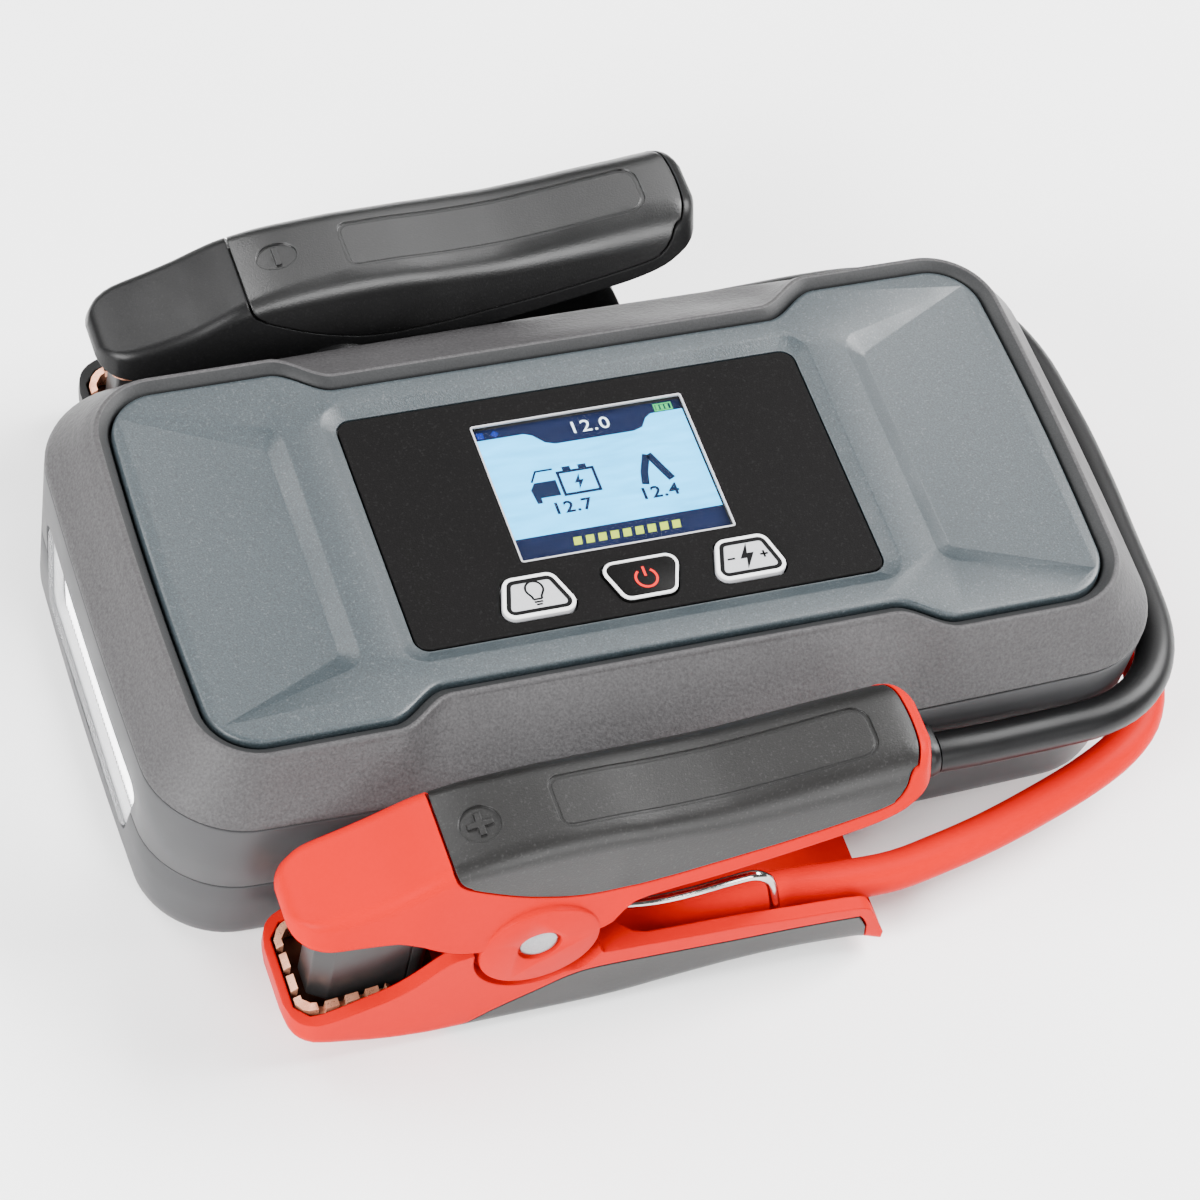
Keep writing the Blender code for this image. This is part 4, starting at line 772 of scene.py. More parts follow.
# bulb sign: glass, neck and two base lines
c = (-18.15, -15.95)
glass = [(math.sin(math.radians(a)) * 1.45, 0.8 + math.cos(math.radians(a)) * 1.45) for a in range(-130, 131, 10)]
bulb = [(-0.72, -1.2), (-0.76, -0.72)] + glass + [(0.76, -0.72), (0.72, -1.2)]
parts = [stroke(at(c, bulb), 0.34, ZI0, ZI1)]
parts.append(stroke(at(c, [(-0.72, -1.2), (0.72, -1.2)]), 0.32, ZI0, ZI1))
parts.append(stroke(at(c, [(-0.7, -1.72), (0.7, -1.72)]), 0.3, ZI0, ZI1))
parts.append(stroke(at(c, [(-0.5, -2.22), (0.5, -2.22)]), 0.3, ZI0, ZI1))
put(make("light_key_sign", join_geo(*parts), M_BLACK_PRINT), "light_key")

# standby sign: open ring and a bar
c = (0.25, -16.65)
ringp = [(math.sin(math.radians(a)) * 1.75, math.cos(math.radians(a)) * 1.75) for a in range(36, 325, 9)]
put(make("power_key_sign", join_geo(stroke(at(c, ringp), 0.42, KEY_Z - 0.22, KEY_Z - 0.14), stroke(at(c, [(0, 0.35), (0, 2.2)]), 0.42, KEY_Z - 0.22, KEY_Z - 0.14)), M_RED_PRINT), "power_key")

# start sign: a plain bolt over two battery terminals
c = (17.6, -16.0)
bolt = [(0.55, 2.5), (-1.25, -0.35), (-0.15, -0.35), (-0.6, -2.45), (1.3, 0.55), (0.15, 0.55)]
put(make("start_key_sign", join_geo(prism(at(c, bolt), ZI0, ZI1, "xy"), stroke(at(c, [(-3.4, -0.1), (-2.1, -0.1)]), 0.34, ZI0, ZI1), stroke(at(c, [(2.2, -0.1), (3.5, -0.1)]), 0.34, ZI0, ZI1), stroke(at(c, [(2.85, -0.75), (2.85, 0.55)]), 0.34, ZI0, ZI1)), M_BLACK_PRINT), "start_key")


# ---- display ---------------------------------------------------------------------
def lit(name, rgb, strength, streak=0.0, body=0.12):
    m, nt, b = nodes_of(name)
    tc = nt.nodes.new("ShaderNodeTexCoord")
    mp = nt.nodes.new("ShaderNodeMapping")
    mp.inputs["Scale"].default_value = (0.18, 1.0, 1.0)
    link(nt, tc.outputs["Object"], mp.inputs["Vector"])
    n = noise(nt, mp.outputs["Vector"], 620.0, 3.0, 0.6)
    r = ramp(nt, n.outputs["Fac"], [(0.3, shade(rgb, 1 - streak)), (0.68, shade(rgb, 1 + streak * 0.4))])
    dark = ramp(nt, n.outputs["Fac"], [(0.3, shade(rgb, body * (1 - streak))), (0.68, shade(rgb, body))])
    link(nt, dark.outputs["Color"], b.inputs["Base Color"])
    link(nt, r.outputs["Color"], b.inputs["Emission Color"])
    b.inputs["Emission Strength"].default_value = strength
    b.inputs["Roughness"].default_value = 0.35
    b.inputs["Specular IOR Level"].default_value = 0.02
    return m


M_SCREEN = lit("screen_light", (0.03, 0.47, 0.90), 5.4, 0.2)
M_NAVY = lit("screen_navy", (0.010, 0.016, 0.055), 0.6, 0.3, 0.5)
M_INK = lit("screen_ink", (0.010, 0.02, 0.06), 0.4, 0.2, 0.5)
M_SCRWHITE = lit("screen_white", (0.70, 0.86, 0.95), 4.0, 0.05)
M_SCRGREEN = lit("screen_green", (0.06, 0.62, 0.18), 1.6, 0.05)
M_SCRYELLOW = lit("screen_yellow", (0.62, 0.80, 0.06), 2.0, 0.05)
M_SCRBLUE = lit("screen_blue", (0.02, 0.05, 0.42), 1.2, 0.05)

# module: a metal frame round the cell, then the picture in thin layers
mod = make("screen_module", loft([[(x, y, z) for x, y in rounded_poly([(-20.6 + d, -11.0 + d), (20.6 - d, -11.0 + d), (20.6 - d, 19.9 - d), (-20.6 + d, 19.9 - d)], 0.6, 4)] for z, d in ((37.2, 0.2), (37.4, 0.0), (40.15, 0.0), (40.35, 0.2))]), M_BLACKP)
put(mod, "housing", "display_module")
X0, X1, Y0, Y1 = -SCR_L + 0.1, SCR_L - 0.1, SCR_Y - SCR_W + 0.1, SCR_Y + SCR_W - 0.1
ZS = 40.36


def layer(name, geo, mat):
    put(make(name, geo, mat), "housing")


layer("screen_picture", prism(rounded_poly([(X0, Y0), (X1, Y0), (X1, Y1), (X0, Y1)], 0.3, 3), ZS, ZS + 0.05, "xy"), M_SCREEN)
navy = [prism([(X0, Y0), (X1, Y0), (X1, Y0 + 4.9), (X0, Y0 + 4.9)], ZS + 0.06, ZS + 0.09, "xy")]
navy.append(prism([(X0, Y1), (X0, Y1 - 2.0), (-9.5, Y1 - 2.0), (-8.2, Y1 - 2.6), (-6.6, Y1 - 4.3), (-5.0, Y1 - 4.9), (8.6, Y1 - 4.9), (10.2, Y1 - 4.4), (11.3, Y1 - 2.7), (12.4, Y1 - 2.0), (X1, Y1 - 2.0), (X1, Y1)], ZS + 0.06, ZS + 0.09, "xy"))
layer("screen_bars", join_geo(*navy), M_NAVY)


def words(name, txt, x, y, size, mat, z, wide=1.0, bold=0.0):
    cu = bpy.data.curves.new(name, "FONT")
    cu.body = txt
    cu.size = size * MM
    cu.extrude = 0.012 * MM
    cu.offset = bold * MM
    cu.align_x, cu.align_y = "CENTER", "CENTER"
    cu.space_character = 1.12
    cu.resolution_u = 3
    t = bpy.data.objects.new(name + "_t", cu)
    COL.objects.link(t)
    bpy.context.view_layer.update()
    dg = bpy.context.evaluated_depsgraph_get()
    me = bpy.data.meshes.new_from_object(t.evaluated_get(dg), depsgraph=dg)
    bpy.data.objects.remove(t, do_unlink=True)
    ob = bpy.data.objects.new(name, me)
    COL.objects.link(ob)
    me.transform(Matrix.Translation((x * MM, y * MM, z * MM)) @ Matrix.Diagonal((wide, 1, 1, 1)))
    me.materials.clear()
    me.materials.append(mat)
    put(ob, "housing")


ZT1 = ZS + 0.11
words("screen_number_top", "12.0", 1.6, Y1 - 2.45, 3.3, M_SCRWHITE, ZT1, 1.15)
words("screen_number_left", "12.7", -6.3, SCR_Y - 4.1, 3.2, M_INK, ZT1, 1.12, 0.07)
words("screen_number_right", "12.4", 8.6, SCR_Y - 4.1, 3.2, M_INK, ZT1, 1.12, 0.07)
ZG0, ZG1 = ZS + 0.07, ZS + 0.11
# battery with a bolt, beside the nose of a car
bat = [stroke([(-6.6, 2.5), (-0.6, 2.5), (-0.6, 7.0), (-6.6, 7.0)], 0.5, ZG0, ZG1, closed=True), prism([(-5.6, 7.2), (-4.2, 7.2), (-4.2, 8.0), (-5.6, 8.0)], ZG0, ZG1, "xy"), prism([(-2.9, 7.2), (-1.5, 7.2), (-1.5, 8.0), (-2.9, 8.0)], ZG0, ZG1, "xy"),
       prism([(-3.2, 6.3), (-4.4, 4.5), (-3.7, 4.5), (-4.0, 3.1), (-2.7, 5.0), (-3.4, 5.0)], ZG0, ZG1, "xy")]
car = [prism([(-11.6, 1.6), (-10.7, 1.6), (-10.7, 2.6), (-7.3, 2.6), (-7.3, 5.7), (-11.0, 5.7), (-11.9, 4.4)], ZG0, ZG1, "xy"), stroke([(-11.3, 5.9), (-10.1, 7.9), (-7.2, 7.9)], 0.36, ZG0, ZG1)]
clampsign = [stroke([(8.9, 7.7), (7.5, 4.4), (6.9, 1.9)], 1.3, ZG0, ZG1), stroke([(9.2, 7.7), (10.6, 4.4), (11.6, 2.2)], 1.3, ZG0, ZG1)]
layer("screen_signs", join_geo(*[(([(x, y + OVL_Y, z) for x, y, z in g[0]]), g[1]) for g in bat + car + clampsign]), M_INK)
# charge sign, side marks and the lower line
layer("screen_charge", join_geo(stroke([(13.4, Y1 - 1.75), (16.3, Y1 - 1.75), (16.3, Y1 - 0.45), (13.4, Y1 - 0.45)], 0.25, ZS + 0.10, ZS + 0.13, closed=True), *[prism([(x, Y1 - 1.55), (x + 0.55, Y1 - 1.55), (x + 0.55, Y1 - 0.65), (x, Y1 - 0.65)], ZS + 0.10, ZS + 0.13, "xy") for x in (13.65, 14.45, 15.25)]), M_SCRGREEN)
layer("screen_marks", join_geo(prism([(-17.2, Y1 - 1.7), (-16.1, Y1 - 1.7), (-16.1, Y1 - 0.5), (-17.2, Y1 - 0.5)], ZS + 0.10, ZS + 0.12, "xy"), prism([(-14.9, Y1 - 1.1), (-14.2, Y1 - 0.4), (-13.5, Y1 - 1.1), (-14.2, Y1 - 1.8)], ZS + 0.10, ZS + 0.12, "xy")), M_SCRBLUE)
dash = []
for i in range(9):
    x = -8.4 + 2.1 * i
    dash.append(prism([(x, Y0 + 2.0), (x + 1.35, Y0 + 2.0), (x + 1.6, Y0 + 3.5), (x + 0.25, Y0 + 3.5)], ZS + 0.10, ZS + 0.13, "xy"))
layer("screen_line", join_geo(*dash), M_SCRYELLOW)

m, nt, b = nodes_of("display_glass")
tc = nt.nodes.new("ShaderNodeTexCoord")
n = noise(nt, tc.outputs["Object"], 900.0, 2.0)
link(nt, span(nt, n.outputs["Fac"], 0.3, 0.7, 0.05, 0.11).outputs["Result"], b.inputs["Roughness"])
b.inputs["Base Color"].default_value = (0.02, 0.022, 0.024, 1)
b.inputs["Alpha"].default_value = 0.03
M_GLASS = m
win = make("screen_window", loft([[(x, y, z) for x, y in rounded_poly([(-SCR_L + d, SCR_Y - SCR_W + d), (SCR_L - d, SCR_Y - SCR_W + d), (SCR_L - d, SCR_Y + SCR_W - d), (-SCR_L + d, SCR_Y + SCR_W - d)], 0.5, 4)] for z, d in ((40.9, 0.0), (41.45, 0.0), (41.55, 0.1))]), M_GLASS)
put(win, "housing", "display_window")
wo = rounded_poly([(-SCR_L - 0.22, SCR_Y - SCR_W - 0.22), (SCR_L + 0.22, SCR_Y - SCR_W - 0.22), (SCR_L + 0.22, SCR_Y + SCR_W + 0.22), (-SCR_L - 0.22, SCR_Y + SCR_W + 0.22)], 0.5, 4)
put(make("screen_border", plate_ring(wo, grow(wo, -0.3), 41.2, 41.58), M_SILVER), "housing")

# ---- work lamp -------------------------------------------------------------------
def lens_out(x, d, k=1.0):
    pts = rounded_poly([(-27.3 + d, 23.5 - d), (27.3 - d, 23.5 - d), (22.95 - d, 7.2 + d), (-22.95 + d, 7.2 + d)], 2.4, 8)
    return [(x, y, z) for y, z in pts]


m, nt, b = nodes_of("lens_clear")
tc = nt.nodes.new("ShaderNodeTexCoord")
n = noise(nt, tc.outputs["Object"], 500.0, 2.0)
link(nt, span(nt, n.outputs["Fac"], 0.3, 0.7, 0.06, 0.16).outputs["Result"], b.inputs["Roughness"])
b.inputs["Base Color"].default_value = (0.8, 0.81, 0.83, 1)
b.inputs["Alpha"].default_value = 0.12
b.inputs["Coat Weight"].default_value = 0.4
M_LENS = m
lens = make("lamp_cover", loft([lens_out(-84.4, 0.7), lens_out(-84.34, 0.35), lens_out(-84.15, 0.1), lens_out(-83.8, 0.0), lens_out(-83.4, 0.0)]), M_LENS)
put(lens, "housing", "lamp_lens")
# thin clear rim that frames the lens, and the reflector's ribs behind it
rimo, rimi = lens_out(0, 0.05), lens_out(0, 0.75)
frame_rings = []
for x, t in ((-83.3, 0.0), (-81.95, 0.0), (-81.95, 1.0), (-83.15, 1.0), (-83.3, 0.75)):
    frame_rings.append([(x, p[1] + (q[1] - p[1]) * t, p[2] + (q[2] - p[2]) * t) for p, q in zip(rimo, rimi)])
M_LRIM = moulded("lens_rim", (0.34, 0.34, 0.345), 0.35, 1800, 0.04, 0.1, 0.02, 0.04)
put(make("lamp_rim", loft(frame_rings, closed=True), M_LRIM), "housing")

m, nt, b = nodes_of("reflector_ribs_painted_glow")
tc = nt.nodes.new("ShaderNodeTexCoord")
n = noise(nt, tc.outputs["Object"], 320.0, 3.0)
r_ = ramp(nt, n.outputs["Fac"], [(0.3, (0.80, 0.79, 0.80)), (0.7, (0.95, 0.95, 0.95))])
link(nt, r_.outputs["Color"], b.inputs["Base Color"])
link(nt, span(nt, n.outputs["Fac"], 0.3, 0.7, 0.22, 0.36).outputs["Result"], b.inputs["Roughness"])
b.inputs["Metallic"].default_value = 0.15
# the white base colour is the ribs' own; the emission is painted light, a glow on the reflector, which is no lamp
b.inputs["Emission Color"].default_value = (1, 1, 1, 1)
b.inputs["Emission Strength"].default_value = 3.2
M_REFL_GLOW = m
rib = []
NR = 44
for i in range(NR * 4 + 1):
    y = -23.5 + 47.0 * i / (NR * 4)
    rib.append((-81.5 - 0.36 * math.sin(math.pi / 2 * i) ** 2 - 0.1 * (i % 4 == 3), y))
prof = rib + [(-79.4, 23.5), (-79.4, -23.5)]
# trapezoid outline: narrower towards the bottom, and a shelf that closes the lower edge
rings = []
for z, k in ((8.0, 0.88), (10.5, 0.93), (13.0, 0.975), (16.0, 1.03), (19.5, 1.09), (22.8, 1.14)):
    rings.append([(x, y * k, z) for x, y in prof])
put(make("lamp_ribs", loft(rings), M_REFL_GLOW, 50), "housing", "lamp_reflector")

# ---- sockets in the right end -------------------------------------------------------
bz = make("socket_surround", loft([[(x, y, z) for y, z in rounded_poly([(-12.7 + d, 14.3 + d), (12.7 - d, 14.3 + d), (12.7 - d, 23.3 - d), (-12.7 + d, 23.3 - d)], 1.3, 6)] for x, d in ((82.0, 0.0), (83.6, 0.0), (83.82, 0.1), (83.9, 0.3))]), M_BLACKP)
ch = [((-10.6, 3.2, 15.8, 21.8), 0.25), ((4.8, 10.9, 17.0, 20.6), 1.0)]
steps = []
for (y0, y1, z0, z1), rr in ch:
    a = rounded_poly([(y0, z0), (y1, z0), (y1, z1), (y0, z1)], rr, 6)
    steps.append((loft([[(80, y, z) for y, z in a], [(83.6, y, z) for y, z in a], [(84.2, y, z) for y, z in grow(a, 0.45)]]), "DIFFERENCE"))
put(carve(bz, steps), "housing", "port_bezel")
ua = make("socket_a", prism(rounded_poly([(-10.25, 16.1), (2.85, 16.1), (2.85, 21.5), (-10.25, 21.5)], 0.35, 4), 70.0, 83.4, "yz"), M_STEEL)
steps = [(prism(rounded_poly([(-9.95, 16.4), (2.55, 16.4), (2.55, 21.2), (-9.95, 21.2)], 0.2, 4), 72.0, 85, "yz"), "DIFFERENCE")]
put(carve(ua, steps), "housing", "usb_a_socket")
tongue = loft([[(x, y, z) for y, z in ((-9.25 + d, 18.9 + d), (1.85 - d, 18.9 + d), (1.85 - d, 20.7 - d), (-9.25 + d, 20.7 - d))] for x, d in ((72.05, 0), (82.2, 0), (82.5, 0.25))])
put(make("socket_a_tongue", tongue, M_BLACKP), "housing")
M_GOLD = metal_mat("contact_gold", (0.90, 0.66, 0.30), 0.25)
pins = [box(74, 82.2, -3.7 + o - 0.55, -3.7 + o + 0.55, 18.74, 18.89) for o in (-3.6, -1.2, 1.2, 3.6)]
put(make("socket_a_contacts", join_geo(*pins), M_GOLD), "housing")
uc = make("socket_c", prism(rounded_poly([(5.1, 17.3), (10.6, 17.3), (10.6, 20.3), (5.1, 20.3)], 1.3, 8), 75.0, 83.4, "yz"), M_STEEL)
put(carve(uc, [(prism(rounded_poly([(5.4, 17.6), (10.3, 17.6), (10.3, 20.0), (5.4, 20.0)], 1.1, 8), 76.5, 85, "yz"), "DIFFERENCE")]), "housing", "usb_c_socket")
put(make("socket_c_tongue", box(76.55, 82.6, 6.3, 9.4, 18.5, 19.1), M_BLACKP), "housing")

# ---- lead outlets ---------------------------------------------------------------
for s, nm in ((-1, "front"), (1, "rear")):
    zc = LEAD_Z[s]
    xs = [35.2, 35.5, 36.6, 37.4, 37.5, 38.0, 38.1, 38.9, 39.0, 39.5, 39.6, 40.4, 40.5, 41.0, 41.2, 41.5]
    rings = []
    for i, x in enumerate(xs):
        t = (x - 35.2) / 6.3
        out = pchip([0, 0.22, 0.6, 0.84, 1.0], [46.4, 49.2, 51.6, 51.8, 51.55], t)
        h = pchip([0, 0.22, 0.6, 0.84, 1.0], [2.3, 3.5, 3.85, 3.75, 3.45], t)
        if 37.45 < x < 38.05 or 38.95 < x < 39.55:
            out, h = out - 0.2, h - 0.2
        if i == 0:
            out, h = out - 0.3, h - 0.3
        ring = [(x, s * 44.95, zc - h), (x, s * 44.95, zc + h)]
        cy = max(out - h * 0.9, 45.2)
        for k in range(19):
            a = math.radians(90 - 10 * k)
            ring.append((x, s * (cy + (out - cy) * math.cos(a)), zc + h * math.sin(a)))
        rings.append(ring)
    g = make(nm + "_outlet", loft(rings), M_RUBBER, 40)
    put(carve(g, [(box(36.2, 40.6, *sorted((s * 39.5, s * 45.6)), zc - 2.5, zc + 2.5), "UNION")], 40), "housing", nm + "_lead_gland")

# ---- dock posts ----------------------------------------------------------------
for s, nm in ((-1, "front"), (1, "rear")):
    prof = rounded_poly([(-65.2, 54.9), (-46.6, 54.9), (-46.6, 62.0), (-65.2, 62.0)], [0.8, 0.8, 2.4, 0], 6)[:-1] + [(-62.6, 62.0), (-62.2, 61.98), (-65.1, 60.4), (-65.2, 60.1)]
    prof = rounded_poly([(-65.2, 54.9), (-46.6, 54.9), (-46.6, 62.0), (-62.4, 62.0), (-65.2, 60.2)], [0.8, 0.8, 2.4, 0.35, 0.35], 6)
    cx, cy = -56.0, 58.4

    def shrink(d):
        return [(cx + (u - cx) * (1 - d / 9.3), s * (cy + (w - cy) * (1 - d / 3.5))) for u, w in prof]

    p = make(nm + "_post", loft([[(u, w, z) for u, w in shrink(d)] for z, d in ((10.2, 0.3), (10.5, 0.0), (25.0, 0.0), (25.3, 0.12), (25.4, 0.35))]), M_POST)
    steps = [(box(-61.4, -52.8, *sorted((s * 44.9, s * 56.0)), 16.8, 24.8), "UNION"), (box(-60.0, -54.0, *sorted((s * 39.0, s * 46.0)), 18.5, 24.0), "UNION")]
    # shallow panel line on the outer face
    steps.append((box(-50.05, -49.75, *sorted((s * 61.8, s * 63.0)), 12.0, 26.0), "DIFFERENCE"))
    put(carve(p, steps), "housing", nm + "_dock_post")

# ---- clamps ---------------------------------------------------------------------
PIV_X, PIV_Z, CLAMP_Y, CL_HW, BOSS_R, RIVET_R, GRIP_T = -31.0, 22.4, 56.0, 11.0, 9.8, 2.0, 1.4
UP = [(-70.2, 3.2, 2.4, 30.4, 31.7, 0.6), (-69.8, 4.8, 3.7, 30.1, 32.6, 1.1), (-68.9, 6.6, 5.2, 30.0, 33.4, 1.5), (-67.5, 8.1, 6.5, 30.0, 34.0, 1.8), (-65.0, 9.2, 7.6, 30.0, 34.8, 2.0),
      (-60.5, 9.7, 8.1, 30.2, 36.2, 2.2), (-55.0, 10.3, 8.3, 30.4, 38.4, 2.4), (-51.5, 10.8, 8.3, 29.3, 40.3, 2.4), (-48.0, 11.0, 8.3, 27.0, 42.2, 2.6),
      (-44.5, 11.0, 8.3, 25.1, 43.4, 2.8), (-41.0, 11.0, 8.4, 24.2, 44.3, 3.2), (-34.0, 11.0, 8.4, 23.6, 45.4, 3.8), (-27.0, 11.0, 8.4, 23.6, 46.0, 4.0),
      (-20.4, 11.0, 8.4, 24.6, 46.1, 4.0), (-17.0, 11.0, 8.4, 30.2, 46.0, 4.0), (-12.5, 11.0, 8.4, 31.7, 45.9, 4.0), (-4.0, 11.0, 8.5, 33.1, 46.1, 4.5),
      (5.0, 11.0, 8.5, 35.1, 47.1, 5.1), (13.0, 11.0, 8.5, 37.0, 48.4, 5.8), (20.0, 11.0, 8.3, 38.9, 49.5, 6.4), (25.0, 10.9, 8.0, 41.2, 50.1, 6.6),
      (27.4, 10.5, 7.6, 43.2, 50.2, 5.4), (29.2, 9.4, 6.8, 44.4, 49.9, 4.2), (30.4, 7.6, 5.4, 45.2, 49.4, 3.0), (31.0, 5.6, 4.0, 45.9, 48.9, 1.8)]
LOW = [(-69.2, 5.2, 7.4, 10.4, 1.2), (-68.6, 8.0, 6.2, 10.6, 1.8), (-67.3, 9.8, 5.2, 10.9, 2.4), (-65.2, 10.8, 4.3, 11.3, 3.0), (-61.8, 11.0, 3.2, 12.3, 3.4),
       (-58.0, 11.0, 2.1, 13.6, 3.6), (-54.0, 11.0, 1.2, 15.1, 3.6), (-51.0, 11.0, 0.7, 17.0, 3.6), (-49.0, 11.0, 0.5, 18.8, 3.6), (-47.0, 11.0, 0.3, 20.9, 3.6),
       (-44.5, 11.0, 0.1, 22.8, 3.8), (-41.0, 11.0, 0.0, 23.4, 4.0), (-36.5, 11.0, 0.0, 30.0, 4.0), (-25.5, 11.0, 0.0, 30.0, 4.0), (-19.5, 11.0, 0.1, 16.5, 4.0),
       (-14.0, 11.0, 0.5, 16.3, 4.0), (-8.0, 11.0, 1.4, 16.0, 4.0), (-2.0, 11.0, 2.2, 15.8, 4.0), (4.0, 11.0, 2.9, 15.6, 4.0), (12.0, 11.0, 3.3, 14.9, 4.0),
       (25.4, 11.0, 2.8, 13.6, 3.6), (30.2, 11.0, 2.5, 5.0, 1.0)]
UPD = dense(UP, 1.3, ends=(-70.05, -69.8, -69.5, -69.2, -68.9, -68.4, -67.9, 28.4, 29.2, 29.8, 30.2, 30.5, 30.8))
LOWD = dense(LOW, 1.3, ends=(-69.1, -68.9, -68.6, -68.2, -67.8, -67.3))


def up_section(x, yc, w, wt, zb, zt, r, inset=0.0, drop=0.0, seg=8):
    w, wt, zt = w - inset, wt - inset, zt - inset
    r = min(max(r - inset, 0.4), 0.8 * (zt - zb), 0.8 * wt)
    slope = (w - wt) / (zt - zb)
    wb = w + slope * drop
    lean = math.degrees(math.atan(slope))
    pts = [(-wb, zb - drop), (wb, zb - drop)]
    cz = zt - r
    wall = w - slope * (cz - zb)
    cy = wall - r / math.cos(math.radians(lean))
    mid_z = [zb + (cz - zb) * k / 4.0 for k in range(1, 4)]
    side = [(w - slope * (z - zb), z) for z in mid_z]
    arc = [(cy + r * math.cos(math.radians(a)), cz + r * math.sin(math.radians(a))) for a in [lean + (90 - lean) * k / seg for k in range(seg + 1)]]
    half = side + arc
    top_pts = [(cy * f, zt) for f in (0.5, 0.0, -0.5)]
    pts += half + top_pts + [(-y, z) for y, z in reversed(half)]
    return [(x, yc + y, z) for y, z in pts]


def low_section(x, yc, w, zb, zt, r, inset=0.0, rise=0.0, seg=8):
    w, zb, zt = w - inset, zb + inset, zt + rise
    r = min(max(r - inset, 0.4), 0.9 * (zt - zb), 0.9 * w)
    pts = [(w, zt), (-w, zt)]
    pts += [(-w, zb + r + (zt - zb - r) * f) for f in (0.75, 0.5, 0.25)]
    for a0, cy in ((180, -w + r), (270, w - r)):
        for k in range(seg + 1):
            a = math.radians(a0 + 90.0 * k / seg)
            pts.append((cy + r * math.cos(a), zb + r + r * math.sin(a)))
    pts += [(w, zb + r + (zt - zb - r) * f) for f in (0.25, 0.5, 0.75)]
    return [(x, yc + y, z) for y, z in pts]


def up_loft(yc, inset=0.0, drop=0.0, x_from=-100.0, table=None):
    return loft([up_section(x, yc, w, wt, zb, zt, r, inset, drop) for x, w, wt, zb, zt, r in (table or UPD) if x > x_from])


def low_loft(yc, inset=0.0, rise=0.0, x_from=-100.0, table=None):
    return loft([low_section(x, yc, w, zb, zt, r, inset, rise) for x, w, zb, zt, r in (table or LOWD) if x > x_from])


def tray(yc, st, step_mm=2.0):
    return loft([low_section(x, yc, w, zb, zt, r, seg=5) for x, w, zb, zt, r in dense(st, step_mm)])


def hood(yc, st, step_mm=2.0):
    return loft([up_section(x, yc, w, wt, zb, zt, r, seg=5) for x, w, wt, zb, zt, r in dense(st, step_mm)])


UP_CURVE = [(-46.6, 42.4), (-45.9, 41.0), (-44.2, 39.5), (-40.0, 37.5), (-36.5, 36.0), (-33.0, 34.8), (-28.0, 33.5), (-24.0, 33.0), (-20.0, 33.1),
            (-17.2, 33.8), (-10.5, 34.8), (-4.6, 35.8), (-0.6, 36.5), (7.8, 38.2), (16.6, 40.3), (22.4, 42.0), (24.6, 43.4), (25.8, 45.4), (27.0, 48.0), (31.0, 49.0)]
UP_END = [(25.4, 11.2), (26.5, 9.8), (27.8, 7.6), (28.7, 4.6), (29.1, 0.0)]
LOW_CURVE = [(-43.5, 0.9), (-37.0, 5.4), (-29.0, 9.5), (-24.7, 11.7), (-20.2, 12.6), (-10.8, 12.5), (4.1, 12.1), (13.3, 12.0), (23.7, 11.5), (25.2, 11.0), (26.7, 8.2)]


def up_zone(dx, dz):
    s = smooth_line(UP_CURVE, 5)
    pts = [(x + (dx if x < -44 else (-dx if x > 24 else 0.0)), z + dz) for x, z in s]
    return [(-46.6 + dx, 60)] + pts + [(32.0 - dx, 60)]


def up_end(yc, d):
    half = [(x - d, w) for x, w in UP_END]
    line = smooth_line([(x, -w) for x, w in half] + [(x, w) for x, w in reversed(half[:-1])], 4)
    return prism([(-60, yc - 14), (25.4 - d, yc - 14)] + [(x, yc + w) for x, w in line] + [(25.4 - d, yc + 14), (-60, yc + 14)], 20, 70, "xy")


def low_zone(dx, dz):
    s = smooth_line(LOW_CURVE, 5)
    pts = [(x + (dx if x < -43 else (-dx * 0.6 if x > 25 else 0.0)), z - dz) for x, z in s]
    return pts + [(28.6 - dx * 0.6, -5), (-43.5 + dx, -5)]


def tarnish_and_shade(ob, inside):
    """Painted shade: near-black copper for the faces below the teeth (above them on the upper plate), where the inside
    of the jaw lies in shadow.
    """
    ob.data.materials.append(M_COPPER_SHADE)
    for f in ob.data.polygons:
        if inside(f.center / MM):
            f.material_index = 1


